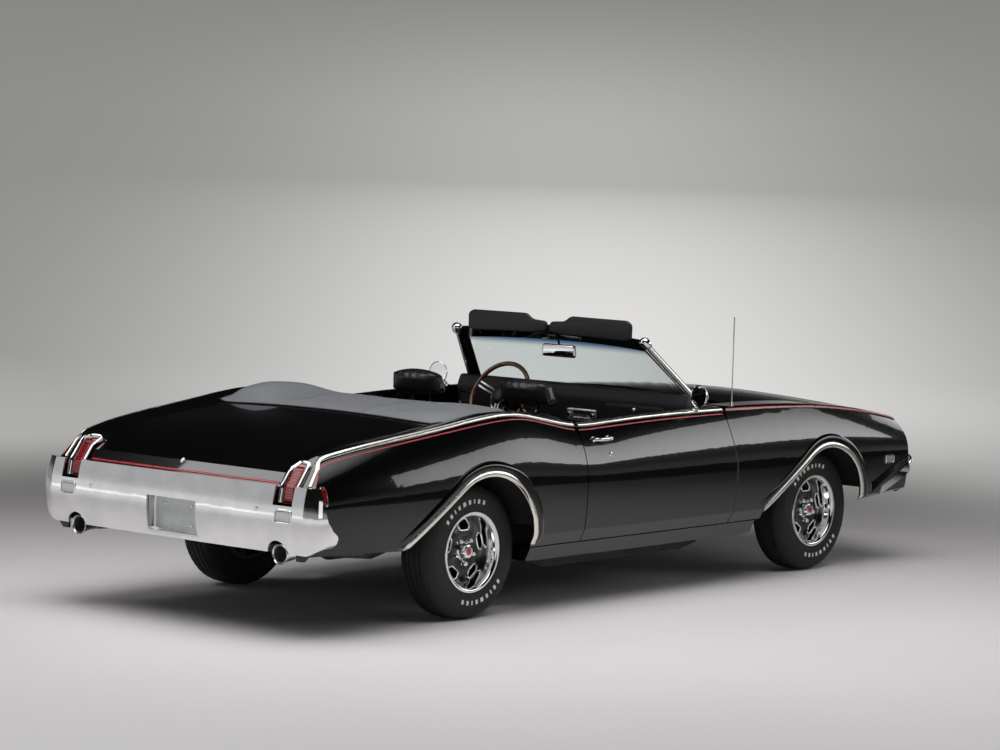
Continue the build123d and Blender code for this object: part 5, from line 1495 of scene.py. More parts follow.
@dataclass
class ScreenFittings:
    """Bright edges of the windscreen, visors, mirror and wipers.

    Attributes:
        base: Lower outer corner of the screen.
        top: Upper outer corner of the screen.
        visor: Outline of a visor as (across, height).
    """

    base: tuple[float, float, float] = (0.5285, 0.8, 0.945)
    top: tuple[float, float, float] = (0.1985, 0.65, 1.288)
    visor: tuple = ((0.01, 1.296), (0.012, 1.352), (0.112, 1.358), (0.15, 1.388), (0.535, 1.386), (0.564, 1.366),
                    (0.562, 1.29), (0.54, 1.276), (0.12, 1.284))

    def pillar(self, side: Side) -> None:
        """Bright strip up one pillar and the casting at its head.

        Args:
            side: Side of the car.
        """
        s, w = side.value, side.word
        low, high = (Vector((p[0], s * p[1], p[2])) for p in (self.base, self.top))
        along = (high - low).normalized()
        face = Vector((0.7206, 0, 0.693))
        out = along.cross(face).normalized()
        out = out if out.y * s > 0 else -out
        points = [low.lerp(high, t) - face * 0.017 for t in np.linspace(0.03, 0.985, 20)]
        Shape().sweep(points, [out] * 20, dome(0.026, 0.006)).build(f"pillar_moulding_{w}", STAINLESS)
        points = [low.lerp(high, t) - face * 0.036 + out * -0.008 for t in np.linspace(0.05, 0.985, 20)]
        Shape().sweep(points, [-face] * 20, dome(0.012, 0.004)).build(f"pillar_edge_{w}", CHROME)
        rings = []
        for t, r in ((-0.048, 0.012), (-0.04, 0.022), (-0.016, 0.031), (0.012, 0.031), (0.03, 0.022), (0.038, 0.01)):
            middle = high + along * (t * 0.8) - face * 0.017
            rings.append([middle + (out * cos(a) + face * 0.9 * sin(a)) * r for a in circle(20)])
        Shape().loft(rings).build(f"pillar_head_{w}", CHROME, 70)

    def visors(self) -> None:
        """Two padded visors swung up over the header, on their centre bracket."""
        for side in Side:
            outline = filleted(self.visor, 0.022, 6)
            line = [Vector((0.1835, side.value * y, z)) for y, z in outline]
            made = pillow(line, (1, 0, 0), 0.022, 0.009).build(f"sun_visor_{side.word}", VINYL, 70)
            if side is Side.LEFT:
                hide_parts("sun_visors")
            rod = [Vector((0.1985, side.value * y, z)) for y, z in ((0.02, 1.322), (0.2, 1.316), (0.4, 1.306))]
            Shape().tube(rod, 0.005, 10).build(f"visor_rod_{side.word}", CHROME)
        block = filleted(((-0.022, 1.296), (-0.022, 1.334), (0.022, 1.334), (0.022, 1.296)), 0.008)
        pillow([Vector((0.205, y, z)) for y, z in block], (1, 0, 0), 0.03, 0.006).build("visor_bracket", PLASTIC, 60)

    def mirror(self) -> None:
        """Inside mirror: bright back, silvered face and its stalk."""
        outline = filleted(((-0.117, 1.158), (-0.113, 1.226), (0.113, 1.226), (0.117, 1.158)), 0.018, 6)
        back = pillow([Vector((0.276, y, z)) for y, z in outline], (1, 0, 0), 0.018, 0.008)
        made = back.build("inside_mirror_case", CHROME, 60)
        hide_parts("interior_mirror")
        face = filleted(((-0.109, 1.165), (-0.106, 1.219), (0.106, 1.219), (0.109, 1.165)), 0.014, 6)
        pillow([Vector((0.2672, y, z)) for y, z in face], (1, 0, 0), 0.003, 0.001).build(
            "inside_mirror_glass", MIRROR, 60)
        stalk = rounded([(0.278, 0.0, 1.2), (0.272, 0.0, 1.236), (0.252, 0.0, 1.272), (0.236, 0.0, 1.296)], 16)
        Shape().tube(stalk, 0.006, 12).build("inside_mirror_stalk", PLASTIC)

    @staticmethod
    def foot(y: float, up: float) -> Vector:
        """Place just ahead of the screen's base, raised along the glass."""
        return Vector((0.5405 + 0.165 * (1 - (y / 0.8) ** 2) - up * 0.9, y, 0.952 + up))

    def wipers(self) -> None:
        """Two wipers parked along the screen's base."""
        for name, y0, y1 in (("left", 0.42, -0.06), ("right", -0.16, -0.6)):
            arm = [self.foot(y0 + (y1 - y0) * t, 0.004 + 0.01 * sin(pi * t)) for t in np.linspace(0, 1, 12)]
            shape = Shape().tube(arm, 0.0035, 8)
            blade = [self.foot(y0 + (y1 - y0) * t, 0.003 + 0.012) for t in np.linspace(0.25, 1.0, 10)]
            shape.tube(blade, 0.003, 8)
            shape.lathe([(0.0, 0.014), (0.01, 0.013), (0.013, 0.006), (0.013, -0.006)], self.foot(y0, 0.0), (0.5, 0, 1),
                        20)
            shape.build(f"wiper_{name}", BRUSHED)

    def build(self) -> None:
        """Make everything on the screen."""
        for side in Side:
            self.pillar(side)
        self.visors()
        self.mirror()
        self.wipers()


@dataclass
class SteeringWheel:
    """Wood-rimmed wheel with three slotted spokes.

    Attributes:
        centre: Middle of the wheel.
        rake: Tilt of the column in degrees.
        radius: Radius of the rim's middle line.
        grip: Radius of the rim's section.
    """

    centre: tuple[float, float, float] = (0.2235, 0.365, 0.925)
    rake: float = 26.0
    radius: float = 0.19
    grip: float = 0.0128

    def at(self, radius: float, angle: float, lift: float) -> Vector:
        """Point in the wheel's own plane, raised towards the driver.

        Args:
            radius: Distance from the middle.
            angle: Angle round the wheel.
            lift: How far it is raised.

        Returns:
            The point.
        """
        a = radians(self.rake)
        up = Vector((-cos(a), 0, sin(a)))
        across, down = Vector((0, 1, 0)), Vector((-sin(a), 0, -cos(a)))
        return (Vector(self.centre) + (across * cos(angle) + down * sin(angle)) * radius + up * lift)

    def build(self) -> None:
        """Make rim, spokes, hub and the stalk on the column."""
        rings = []
        for a in circle(120):
            grip = self.grip - 0.001 * max(0.0, cos(a * 40))
            rings.append([self.at(self.radius + grip * cos(b), a, grip * sin(b)) for b in circle(16)])
        rim = Shape().loft(rings, loop=True).build("steering_rim", WALNUT, 70, "steering_wheel")
        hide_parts("steering_wheel")
        spokes = Shape()
        for deg in (90, 200, 340):
            middle = radians(deg)
            for shift in (-0.0125, 0.0125):
                line = []
                for r in np.linspace(0.036, self.radius - 0.004, 14):
                    dish = -0.006 * sin(pi * (r - 0.036) / 0.15)
                    line.append(self.at(r, middle + shift * (1.0 if r > 0.08 else 0.8) / r, dish))
                normals = [self.at(0, 0, 1.0) - Vector(self.centre)] * len(line)
                spokes.sweep(line, normals, [(0.0055, -0.0015), (0.0055, 0.0015), (0.004, 0.0025), (-0.004, 0.0025),
                                             (-0.0055, 0.0015), (-0.0055, -0.0015)])
        spokes.build("steering_spokes", BRUSHED, body="steering_wheel")
        axis = self.at(0, 0, 1.0) - Vector(self.centre)
        hub = [(0.03, -0.03), (0.042, -0.028), (0.047, -0.012), (0.047, 0.002), (0.042, 0.006), (0.042, 0.012),
               (0.036, 0.019), (0.018, 0.0225), (0.0, 0.023)]
        Shape().lathe(hub, self.centre, axis, 48).build("steering_hub", PLASTIC, 45, "steering_wheel")
        ring = [(0.044, 0.002), (0.0475, 0.003), (0.0475, 0.006), (0.043, 0.008), (0.0415, 0.006)]
        Shape().lathe(ring, self.centre, axis, 48, True).build("steering_hub_ring", CHROME, body="steering_wheel")
        start = Vector(self.centre) - axis * 0.1
        stalk = rounded([start, start + Vector((-0.01, 0.06, 0.03)), start + Vector((-0.02, 0.13, 0.05))], 14)
        Shape().tube(stalk, 0.004, 10).build("indicator_stalk", CHROME)


@dataclass
class BootCover:
    """Vinyl cover snapped down over the folded top.

    Attributes:
        half: Half its width.
        rear: X of its rear edge.
        front: X of its front edge.
        spine: Height along its middle as (x, z), from its rear edge.
        border: Height along its side edges as (x, z).
        flat: Size that it was cut to; not used.
    """

    half: float = 0.772
    rear: float = -1.54
    front: float = -0.938
    spine: tuple = ((-1.54, 0.9715), (-1.49, 0.979), (-1.42, 0.99), (-1.3, 0.999), (-1.15, 1.002), (-1.02, 0.998),
                    (-0.965, 0.984), (-0.938, 0.952))
    border: tuple = ((-1.54, 0.957), (-1.42, 0.975), (-1.3, 0.988), (-1.12, 0.991), (-1.0, 0.976), (-0.938, 0.946))
    flat: tuple[float, float] = (1.6, 0.64)

    def heights(self, xs: np.ndarray, ys: np.ndarray) -> np.ndarray:
        """Height of the cover over a grid, with the bows' humps and the slack between them.

        Args:
            xs: Stations along the car.
            ys: Stations across it.

        Returns:
            The heights.
        """
        mid = np.interp(xs, *zip(*self.spine))[:, None]
        low = np.interp(xs, *zip(*self.border))[:, None]
        x, y = xs[:, None], ys[None, :]
        over = np.exp(-((x + 1.25) / 0.25) ** 4)
        hump = over * (0.048 * np.exp(-((y - 0.6) / 0.14) ** 2) + 0.012 * np.exp(-((y + 0.56) / 0.16) ** 2))
        sag = -0.01 * np.exp(-((x + 1.13) / 0.1) ** 2) * np.cos(y * 4.5) ** 2
        share = np.clip((1 - np.abs(y) / self.half) / 0.13, 0, 1)
        share = share * share * (3 - 2 * share)
        z = low + (mid + hump + sag - low) * share
        for _ in range(4):
            z[1:-1] = (z[:-2] + z[1:-1] * 2 + z[2:]) / 4
            z[:, 1:-1] = (z[:, :-2] + z[:, 1:-1] * 2 + z[:, 2:]) / 4
        folds = (0.004 * np.sin(26 * (x + 0.55 * y) + 2.0 * np.sin(3 * y)) * np.exp(-((y + 0.45) / 0.22) ** 2)
                 + 0.0035 * np.sin(22 * (x - 0.7 * y) + 1.5) * np.exp(-((y - 0.3) / 0.2) ** 2)
                 + 0.0016 * np.sin(34 * y + 11 * x + 3 * np.sin(7 * y)) * np.sin(5 * y + 1))
        seam = -0.0035 * (np.exp(-((y - 0.26) / 0.006) ** 2) + np.exp(-((y + 0.26) / 0.006) ** 2))
        return z + (folds + seam) * share * over

    def build(self) -> None:
        """Make the sheet, its bound hem and its welted seams."""
        xs, ys = np.linspace(self.rear, self.front, 90), np.linspace(-self.half, self.half, 200)
        plan = 1 - 0.055 * np.clip((np.abs(ys) / self.half - 0.72) / 0.28, 0, 1) ** 2
        z = self.heights(xs, ys)
        deck = Hide("deck_panel", "trunk_lid")
        for j, y in enumerate(ys):
            found = deck.shot((-1.55, y, 1.5), (0, 0, -1))
            if found:
                near = np.exp(-((xs - self.rear) / 0.045) ** 2)
                z[:, j] = z[:, j] * (1 - near) + (found[0].z + 0.005 + (xs - self.rear) * 0.1) * near
        top = [[Vector((self.front + (x - self.front) * plan[j], y, z[i, j])) for j, y in enumerate(ys)]
               for i, x in enumerate(xs)]
        under = [[p - Vector((0, 0, 0.0025)) for p in row] for row in top]
        shape = Shape().loft(top, closed=False).loft(under, closed=False)
        rims = [edge_of(top), edge_of(under)]
        shape.loft(rims, caps=False)
        # The cover's finish is lightened to grey as painted sheen.
        made = shape.build("boot_cover", COVER_VINYL, 70)
        hem = Shape().tube(rims[0][::3], 0.0035, 8, True).build("boot_cover_hem", VINYL)
        seams = Shape()
        for line in (0.26, -0.26):
            j = int(np.argmin(np.abs(ys - line)))
            seams.tube([row[j + 3] + Vector((0, 0, -0.0012)) for row in top[4:-4:2]], 0.0018, 6)
        stitch = seams.build("boot_cover_welts", VINYL)
        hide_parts("top_boot")


@dataclass
class Cushion:
    """One stuffed pad: a closed form swelled by cloth pressure, with sewn channels and a welt.

    Attributes:
        name: Name of the piece.
        outline: Side profile as (x, z), in order.
        middle: Y of its middle.
        half: Half its width.
        face: Direction that its channelled face looks in.
        pleat: Spacing of the channels, or 0 for none.
        edge: Width over which its ends round off.
        cap: How far the pressure may move a point.
        shrink: How much smaller than its CAD solid it starts.
        voxel: Size of its even mesh.
        corner: Radius of its profile's corners.
        taper: How much narrower it is at its top than at its foot.
    """

    name: str
    outline: tuple
    middle: float
    half: float
    face: tuple[float, float, float]
    pleat: float = 0.0
    edge: float = 0.05
    cap: float = 0.012
    shrink: float = 0.008
    voxel: float = 0.01
    corner: float = 0.055
    taper: float = 0.0

    def side(self, y: float) -> list[Vector]:
        """Rounded side profile at one place across the car.

        Args:
            y: The place.

        Returns:
            The profile.
        """
        mid = Vector((sum(p[0] for p in self.outline), sum(p[1] for p in self.outline))) / len(self.outline)
        line = []
        for p in filleted(self.outline, self.corner, 8):
            away = Vector(p) - mid
            q = Vector(p) - away.normalized() * self.shrink
            line.append(Vector((q.x, y, q.y)))
        return line

    def mesh(self) -> Mesh:
        """Swelled and channelled mesh of the pad.

        Returns:
            The mesh.
        """
        shape = pillow(self.side(self.middle), (0, 1, 0), 2 * (self.half - self.shrink), self.edge)
        raw = bpy.data.meshes.new(self.name)
        low, high = (f(p[1] for p in self.outline) for f in (min, max))
        lean = [1 - self.taper * (z - low) / (high - low) for _, _, z in shape.points]
        raw.from_pydata([(x, self.middle + (y - self.middle) * k, z) for (x, y, z), k in zip(shape.points, lean)], [],
                        shape.faces)
        work = linked(self.name + "_blank", raw)
        remesh = work.modifiers.new("even", "REMESH")
        remesh.mode, remesh.voxel_size = "VOXEL", self.voxel
        graph = bpy.context.evaluated_depsgraph_get()
        even = bpy.data.meshes.new_from_object(work.evaluated_get(graph))
        work.modifiers.clear()
        work.data = even
        start = np.empty(len(even.vertices) * 3)
        even.vertices.foreach_get("co", start)
        start = start.reshape(-1, 3)
        done = self.swell(work, start)
        for _ in range(2):
            done = self.relax(even, done)
        even.vertices.foreach_set("co", done.ravel())
        even.update()
        self.channel(even)
        bpy.data.objects.remove(work)
        return even

    def swell(self, work: Object, start: np.ndarray) -> np.ndarray:
        """Points after a short run of cloth under pressure, with their movement capped.

        Args:
            work: Object that holds the mesh.
            start: Its points.

        Returns:
            The moved points.
        """
        cloth = work.modifiers.new("swell", "CLOTH")
        cloth.settings.use_pressure = True
        cloth.settings.uniform_pressure_force = 4.0
        cloth.settings.effector_weights.gravity = 0.0
        cloth.settings.quality = 4
        cloth.collision_settings.use_collision = False
        cloth.point_cache.frame_start, cloth.point_cache.frame_end = 1, 20
        scene = bpy.context.scene
        for step in range(1, 15):
            scene.frame_set(step)
        graph = bpy.context.evaluated_depsgraph_get()
        moved = bpy.data.meshes.new_from_object(work.evaluated_get(graph))
        end = np.empty(len(moved.vertices) * 3)
        moved.vertices.foreach_get("co", end)
        work.modifiers.clear()
        scene.frame_set(1)
        shift = end.reshape(-1, 3) - start
        reach = np.linalg.norm(shift, axis=1, keepdims=True)
        return start + shift * np.minimum(1.0, self.cap / np.maximum(reach, 1e-9))

    @staticmethod
    def relax(mesh: Mesh, points: np.ndarray) -> np.ndarray:
        """Points drawn halfway to the middle of their neighbours.

        Args:
            mesh: Mesh with the edges between them.
            points: The points.

        Returns:
            The drawn points.
        """
        edges = np.empty(len(mesh.edges) * 2, dtype=np.int64)
        mesh.edges.foreach_get("vertices", edges)
        a, b = edges.reshape(-1, 2).T
        total, count = np.zeros_like(points), np.zeros(len(points))
        for i, j in ((a, b), (b, a)):
            np.add.at(total, i, points[j])
            np.add.at(count, i, 1)
        return points * 0.5 + total / np.maximum(count, 1)[:, None] * 0.5

    def channel(self, mesh: Mesh) -> None:
        """Press the sewn channels into the face.

        Args:
            mesh: Mesh of the pad.
        """
        if not self.pleat:
            return
        way = Vector(self.face).normalized()
        for v in mesh.vertices:
            facing = max(0.0, v.normal.dot(way) - 0.25) / 0.75
            across = (v.co.y - self.middle)
            share = min(1.0, max(0.0, (self.half - 0.075 - abs(across)) / 0.02))
            groove = exp(-((across / self.pleat - round(across / self.pleat)) * self.pleat / 0.009) ** 2)
            border = exp(-((abs(across) - self.half + 0.072) / 0.01) ** 2)
            v.co -= v.normal * facing * (0.0075 * groove * share + 0.007 * border)

    def place(self, mesh: Mesh, name: str, shift: float) -> list[Object]:
        """Pad and its welts, moved across the car.

        Args:
            mesh: The finished mesh.
            name: Name of the piece.
            shift: Distance to move along Y.

        Returns:
            The pad first, then its welts.
        """
        data = mesh.copy()
        data.transform(Matrix.Translation((0, shift, 0)))
        made = linked(name, data)
        modifier = made.modifiers.new("round", "SUBSURF")
        modifier.levels = modifier.render_levels = 1
        # Seat vinyl is painted lighter than the other black vinyl as highlight.
        dress(made, SEAT_VINYL, 80)
        tree = BVHTree.FromPolygons([v.co for v in made.data.vertices], [p.vertices for p in made.data.polygons])
        welts = Shape()
        for end in (-1, 1):
            y = self.middle + shift + end * (self.half - self.edge * 0.42)
            path = [tree.find_nearest(p + Vector((0, end * 0.004, 0)))[0] for p in self.side(y)]
            welts.tube(rounded(path + [path[0]], 90)[:-1], 0.0036, 8, True)
        return [made, welts.build(name + "_welts", PLASTIC)]


class Seating:
    """Front buckets with head restraints, and the rear bench."""

    # Distance of a front seat's middle from the car's middle.
    ASIDE = 0.375
    FRONT = (
        Cushion("cushion", ((0.2085, 0.425), (0.2085, 0.545), (-0.2415, 0.5), (-0.2715, 0.425)), ASIDE, 0.25,
                (0, 0, 1), 0.058),
        Cushion("back", ((-0.1915, 0.5), (-0.2715, 0.425), (-0.3535, 0.425), (-0.4615, 0.93), (-0.3565, 0.95)),
                ASIDE, 0.25, (1, 0, 0.2), 0.058),
        Cushion("headrest", ((-0.3565, 0.966), (-0.4615, 0.958), (-0.4885, 1.092), (-0.3895, 1.097)), ASIDE, 0.176,
                (-1, 0, 0), 0.0, 0.024, 0.006, 0.004, 0.007, 0.03, 0.16),
    )
    REAR = (
        Cushion("rear_cushion", ((-0.7915, 0.538), (-0.7915, 0.66), (-1.1415, 0.64), (-1.2575, 0.538)), 0.0, 0.6,
                (0, 0, 1), 0.075, voxel=0.012),
        Cushion("rear_back", ((-1.1215, 0.62), (-1.2575, 0.538), (-1.2575, 0.925), (-1.2065, 0.93)), 0.0, 0.6,
                (1, 0, 0.2), 0.075, cap=0.008, shrink=0.006, voxel=0.012),
    )

    def build(self) -> None:
        """Swell each pad once, and set it in its places."""
        for pad in self.FRONT:
            mesh = pad.mesh()
            for side in Side:
                made = pad.place(mesh, f"seat_{pad.name}_{side.word}", 0.0 if side is Side.LEFT else -2 * self.ASIDE)
        for side in Side:
            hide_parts(f"seat_front_{side.word}")
            posts = Shape()
            for y in (-0.06, 0.06):
                at = side.value * self.ASIDE + y
                posts.tube([Vector((-0.402, at, 0.925)), Vector((-0.414, at, 0.995))], 0.006, 12)
            posts.build(f"headrest_posts_{side.word}", CHROME)
            base = filleted(((0.16, 0.395), (0.16, 0.432), (-0.24, 0.432), (-0.24, 0.395)), 0.012)
            pillow([Vector((x, side.value * self.ASIDE, z)) for x, z in base], (0, 1, 0), 0.42, 0.01).build(
                f"seat_base_{side.word}", PLASTIC, 60)
        for k, pad in enumerate(self.REAR):
            made = pad.place(pad.mesh(), f"seat_{pad.name}", 0.0)
            if k == 0:
                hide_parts("rear_seat")


@dataclass
class Dashboard:
    """Padded dash with its dials, radio, glove box and wood facing, and the console below it.

    Attributes:
        profile: Side profile of the dash as (x, z).
        half: Half its width.
        console: Side profile of the console as (x, z).
        veneer: Rows of a wood plate as (inset, lift).
    """

    profile: tuple = ((0.6565, 0.72), (0.4785, 0.69), (0.3635, 0.76), (0.3485, 0.95), (0.3765, 1.012),
                      (0.4145, 1.012), (0.4745, 0.948), (0.4865, 0.912), (0.6565, 0.912))
    half: float = 0.787
    console: tuple = ((-0.2115, 0.42), (-0.2115, 0.56), (0.2085, 0.5), (0.4185, 0.64), (0.4185, 0.42))
    veneer: tuple = ((0.0, -0.001), (0.0, 0.003), (0.002, 0.004), (0.01, 0.004))

    def dials(self) -> None:
        """Three hooded dials before the driver, with ticks and needles."""
        hoods, glass, ticks = Shape(), Shape(), Shape()
        for y, lean in ((0.25, 2.2), (0.365, 4.0), (0.48, 5.3)):
            o = Vector((0.3535, y, 0.884))
            hoods.lathe([(0.05, -0.004), (0.0505, 0.01), (0.0535, 0.013), (0.0565, 0.01), (0.058, -0.004)], o,
                        (-1, 0, 0.08), 48, True)
            glass.lathe([(0.0, 0.0022), (0.046, 0.0022), (0.0505, 0.0035), (0.0505, -0.004)], o, (-1, 0, 0.08), 48)
            for k in range(21):
                a = radians(-40 + 13 * k)
                c, s = cos(a), sin(a)
                inner = 0.037 if k % 4 == 0 else 0.041
                line = [o + Vector((-0.003, r * c, r * s)) for r in (inner, 0.0455)]
                ticks.sweep(line, [Vector((-1, 0, 0))] * 2, [(0.0008, -0.0006), (0.0008, 0.0005), (-0.0008, 0.0005),
                                                            (-0.0008, -0.0006)])
            tip = Vector((0, cos(lean), sin(lean)))
            ticks.sweep([o + Vector((-0.0045, 0, 0)) - tip * 0.008, o + Vector((-0.0045, 0, 0)) + tip * 0.036],
                        [Vector((-1, 0, 0))] * 2, [(0.0012, -0.0006), (0.0005, 0.0006), (-0.0005, 0.0006),
                                                   (-0.0012, -0.0006)])
        hoods.build("dial_bezels", CHROME, 50)
        glass.build("dial_faces", DIAL, 50)
        ticks.build("dial_ticks_and_needles", PLATE)

    def facing(self) -> None:
        """Wood facing, radio, glove box and vents on the dash's face."""
        skin = Hide("dashboard")
        for name, y, half in (("left", 0.365, 0.2), ("right", -0.45, 0.26)):
            wood = Pad(skin, Facing.REAR, (y, 0.8), (half, 0.018), square=12.0)
            wood.solid(self.veneer).build(f"dash_wood_{name}", WALNUT, 50)
            wood.frame(0.004, 0.006).build(f"dash_wood_frame_{name}", CHROME)
        radio = Pad(skin, Facing.REAR, (-0.11, 0.852), (0.105, 0.034), square=10.0)
        radio.solid(((0.0, -0.001), (0.0, 0.008), (0.003, 0.011), (0.012, 0.011), (0.014, 0.008), (0.03, 0.008))).build(
            "radio_face", BRUSHED, 45)
        knobs = Shape()
        for y in (-0.19, -0.03):
            knobs.lathe([(0.0, 0.026), (0.01, 0.026), (0.0125, 0.023), (0.0125, 0.006)], radio.spot(y, 0.852)[0],
                        (-1, 0, 0), 24)
        for k in range(5):
            key = Pad(skin, Facing.REAR, (-0.154 + 0.022 * k, 0.834), (0.0085, 0.006), square=8.0, steps=20)
            knobs.loft([key.ring(d, h) for d, h in ((0, 0.006), (0, 0.016), (0.001, 0.017), (0.003, 0.017))])
        knobs.build("radio_knobs_and_keys", CHROME, 45)
        band = Pad(skin, Facing.REAR, (-0.11, 0.866), (0.058, 0.009), square=10.0)
        band.solid(((0.0, 0.006), (0.0, 0.0095), (0.001, 0.01), (0.004, 0.01))).build("radio_band", DIAL, 45)
        box = Pad(skin, Facing.REAR, (-0.47, 0.885), (0.2, 0.048), square=14.0)
        box.solid(((0.0, -0.001), (0.0, 0.005), (0.003, 0.008), (0.02, 0.009), (0.03, 0.009))).build(
            "glove_box_lid", DASH_SKIN, 50)
        hit, _ = box.spot(-0.47, 0.905)
        Shape().lathe([(0.0, 0.02), (0.01, 0.019), (0.013, 0.016), (0.013, 0.006)], hit, (-1, 0, 0), 28).build(
            "glove_box_latch", CHROME, 45)
        for side in Side:
            vent = Pad(skin, Facing.REAR, (side.value * 0.715, 0.885), (0.045, 0.03), square=8.0)
            vent.fluted(0.006, 5, 0.005).build(f"dash_vent_{side.word}", DIAL, 60)
            vent.frame(0.006, 0.009).build(f"dash_vent_frame_{side.word}", CHROME)

    def middle(self) -> None:
        """Console with its wood plate and shift lever."""
        line = [Vector((x, 0.0, z)) for x, z in filleted(self.console, 0.02, 6)]
        made = pillow(line, (0, 1, 0), 0.188, 0.016).build("console_shell", VINYL, 60)
        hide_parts("console")
        skin = Hide("console")
        plate = Pad(skin, Facing.TOP, (0.03, 0.0), (0.15, 0.062), square=10.0)
        plate.solid(self.veneer).build("console_wood", WALNUT, 50)
        plate.frame(0.005, 0.007).build("console_wood_frame", CHROME)
        gate = Pad(skin, Facing.TOP, (0.06, 0.0), (0.065, 0.028), square=8.0)
        gate.solid(((0.0, 0.002), (0.0, 0.007), (0.003, 0.009), (0.008, 0.009), (0.01, 0.006), (0.015, 0.006))).build(
            "shift_gate", BRUSHED, 50)
        lever = rounded([(0.065, 0.0, 0.52), (0.06, 0.0, 0.575), (0.05, 0.0, 0.625), (0.042, 0.0, 0.662)], 16)
        Shape().tube(lever, 0.006, 12).build("shift_lever", CHROME)
        knob = [(0.0, 0.03), (0.01, 0.028), (0.018, 0.018), (0.02, 0.006), (0.016, -0.006), (0.008, -0.014),
                (0.0, -0.015)]
        Shape().lathe(knob, (0.041, 0, 0.668), (-0.2, 0, 1), 32).build("shift_knob", WALNUT, 60)

    def build(self) -> None:
        """Make the dash, its face and the console."""
        line = filleted(self.profile, 0.022, 6)
        rings = []
        mid = Vector((0.47, 0.85))
        for y, k in ((-1.0, 0.965), (-0.996, 0.985), (-0.988, 0.996), (-0.975, 1.0), (0.975, 1.0), (0.988, 0.996),
                     (0.996, 0.985), (1.0, 0.965)):
            rings.append([Vector((mid.x + (x - mid.x) * k, y * self.half, mid.y + (z - mid.y) * k)) for x, z in line])
        made = Shape().loft(rings).build("dash_pad", DASH_SKIN, 60)
        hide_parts("dashboard")
        self.dials()
        self.facing()
        self.middle()


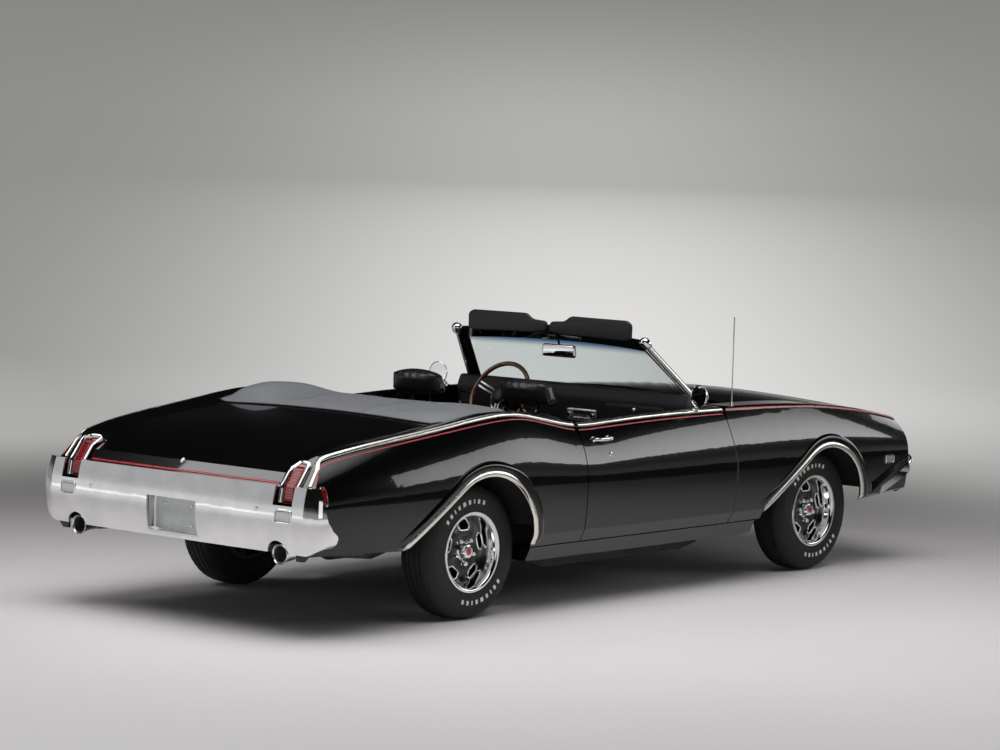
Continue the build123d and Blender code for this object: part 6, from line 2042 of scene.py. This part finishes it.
@dataclass
class DoorDress:
    """Inner panel, handle, lock and mirror of one door.

    Attributes:
        side: Side of the car.
        handle: Middle of the handle as (x, z).
        reach: Half the handle's length.
        mirror: Middle of the mirror's face.
    """

    side: Side
    handle: tuple[float, float] = (-0.4825, 0.836)
    reach: float = 0.066
    mirror: tuple[float, float, float] = (0.33, 0.905, 1.012)

    def inside(self) -> None:
        """Pleated panel, armrest, pull and window crank."""
        s, w = self.side.value, self.side.word
        body = f"door_{w}"
        skin = Hide(body)
        panel = Pad(skin, Facing.INNER, (-0.06, 0.655), (0.475, 0.15), self.side)
        panel.fluted(0.007, 15, 0.004, True).build(f"door_panel_{w}", VINYL, 60, body)
        panel.frame(0.008, 0.009).build(f"door_panel_bead_{w}", STAINLESS, body=body)
        hit = panel.spot(-0.12, 0.655)[0]
        rest = filleted(((-0.36, 0.66), (-0.34, 0.706), (0.1, 0.72), (0.14, 0.69), (0.1, 0.656)), 0.02)
        arm = pillow([Vector((x, hit.y - s * 0.026, z)) for x, z in rest], (0, s, 0), 0.048, 0.016)
        arm.build(f"door_armrest_{w}", VINYL, 60, body)
        hub = panel.spot(0.22, 0.64)[0]
        crank = Shape().lathe([(0.0, 0.02), (0.014, 0.018), (0.018, 0.012), (0.018, 0.0)], hub, (0, -s, 0), 24)
        hub_top = hub + Vector((0, -s * 0.018, 0))
        grip = hub_top + Vector((-0.09, 0, -0.062))
        crank.tube([hub_top, hub_top + Vector((-0.05, 0, -0.035)), grip], 0.005)
        crank.lathe([(0.0, 0.03), (0.009, 0.029), (0.011, 0.024), (0.008, 0.004), (0.0, 0.0)], grip, (0, -s, 0), 20)
        latch = panel.spot(0.3, 0.765)[0]
        crank.tube([latch, latch + Vector((0.0, -s * 0.022, 0)), latch + Vector((-0.07, -s * 0.024, 0.004))], 0.005)
        crank.build(f"door_crank_and_latch_{w}", CHROME, 50, body)

    def outside(self) -> None:
        """Push-button handle, lock and round mirror."""
        s, w = self.side.value, self.side.word
        body = f"door_{w}"
        skin = Hide(body)
        x, z = self.handle
        bed = Pad(skin, Facing.SIDE, self.handle, (self.reach, 0.012), self.side, 4.0)
        rings = []
        for t in np.linspace(-1, 1, 25):
            hit, _ = bed.spot(x + self.reach * t, z)
            out = 0.0075 + 0.0185 * (1 - abs(t) ** 5)
            half = 0.0105 * (1 - 0.35 * t * t)
            rings.append([hit + Vector((0, s * (out + 0.0055 * cos(a)), half * sin(a))) for a in circle(14)])
        made = Shape().loft(rings).build(f"door_handle_{w}", CHROME, 60, body)
        feet = Shape()
        for at in (-0.54, -0.425):
            foot = Pad(skin, Facing.SIDE, (at, z), (0.013, 0.0125), self.side, 3.0, 24)
            feet.loft([foot.ring(d, h) for d, h in ((0, -0.001), (0, 0.004), (0.002, 0.006), (0.003, 0.016))])
        button = bed.spot(-0.425, z)[0]
        feet.lathe([(0.0, 0.029), (0.007, 0.028), (0.009, 0.025), (0.009, 0.01)], button, (0, s, 0), 24)
        lock = bed.spot(-0.44, 0.762)[0]
        feet.lathe([(0.0, 0.003), (0.002, 0.003), (0.0026, 0.0048), (0.009, 0.0042), (0.012, 0.002), (0.012, -0.002)],
                   lock, (0, s, 0.1), 28)
        feet.build(f"door_handle_feet_and_lock_{w}", CHROME, 50, body)
        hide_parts(f"door_fittings_{w}")
        centre = Vector((self.mirror[0], s * self.mirror[1], self.mirror[2]))
        axis = Vector((-1, -s * 0.16, 0.02))
        shell = [(0.0, -0.04), (0.022, -0.037), (0.042, -0.026), (0.054, -0.01), (0.0585, 0.0), (0.059, 0.004),
                 (0.056, 0.006), (0.0545, 0.003)]
        Shape().lathe(shell, centre, axis, 48).build(f"door_mirror_shell_{w}", CHROME, 60, body)
        glass = [(0.0, 0.0035), (0.03, 0.0036), (0.0548, 0.0034), (0.0548, 0.0)]
        Shape().lathe(glass, centre, axis, 48).build(f"door_mirror_glass_{w}", MIRROR, 60, body)
        foot = skin.nearest((0.3525, s * 0.875, 0.945))[0]
        stem = rounded([foot + Vector((0, 0, -0.006)), foot + Vector((0, s * 0.006, 0.022)),
                        centre + Vector((0.022, 0, -0.03))], 12)
        arm = Shape().tube(stem, 0.008, 14)
        arm.lathe([(0.024, -0.002), (0.023, 0.003), (0.014, 0.01), (0.008, 0.014)], foot, (0, s * 0.3, 1), 28)
        arm.build(f"door_mirror_stem_{w}", CHROME, 60, body)

    def build(self) -> None:
        """Dress both faces of the door."""
        self.inside()
        self.outside()


class FrontEnd:
    """Rings and fluted glasses of the lamps at the nose."""

    def build(self) -> None:
        """Make the four headlamps."""
        skin = Hide("headlamps", "nose_panel")
        for side in Side:
            for name, y in (("inner", 0.47), ("outer", 0.668)):
                pad = Pad(skin, Facing.FRONT, (side.value * y, 0.654), (0.072, 0.072), side, 2.0)
                hit, _ = pad.spot(side.value * y, 0.654)
                shell = [(0.0835, -0.004), (0.0835, 0.005), (0.08, 0.0055), (0.0755, 0.003), (0.0735, -0.004)]
                Shape().lathe(shell, hit, (1, 0, 0), 56, True).build(f"headlamp_ring_{name}_{side.word}", CHROME, 50)
                rings = []
                for a in circle(64):
                    ring = []
                    for r, h in ((0.0, 0.005), (0.03, 0.0047), (0.055, 0.0036), (0.0735, 0.0012), (0.0735, -0.004)):
                        across = r * cos(a)
                        flute = 0.0008 * abs(sin(across * 420)) if 0 < r < 0.07 else 0.0
                        ring.append(hit + Vector((h - flute, across, r * sin(a))))
                    rings.append(ring)
                Shape().loft(rings, closed=False, caps=False, loop=True).build(
                    f"headlamp_glass_{name}_{side.word}", CLEAR_LENS, 60)


def main() -> None:
    """Build the studio and every sub-assembly, in order."""
    logging.basicConfig(level=logging.INFO, format="%(name)s: %(message)s")
    kept = set(frame["nodes"].values()) | set(frame["bodies"].values())
    for stray in [o for o in bpy.data.objects if o not in kept]:
        bpy.data.objects.remove(stray)
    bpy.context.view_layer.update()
    studio = Studio()
    studio.camera()
    studio.floor()
    studio.light()
    axles = (("front", X_FRONT_AXLE), ("rear", X_REAR_AXLE))
    parts: list = [Solids()]
    for side in Side:
        parts += [RoadWheel(axle, x, side) for axle, x in axles]
        parts += [BeltTrim(side), ArchTrim("fender", X_FRONT_AXLE, 0.018, side),
                  ArchTrim("quarter", X_REAR_AXLE, 0.04, side)]
    parts += [TailFittings(), ScreenFittings(), SteeringWheel(), Dashboard(), Seating(), BootCover(), FrontEnd()]
    parts += [DoorDress(side) for side in Side]
    for part in parts:
        part.build()


if __name__ == "__main__":
    main()
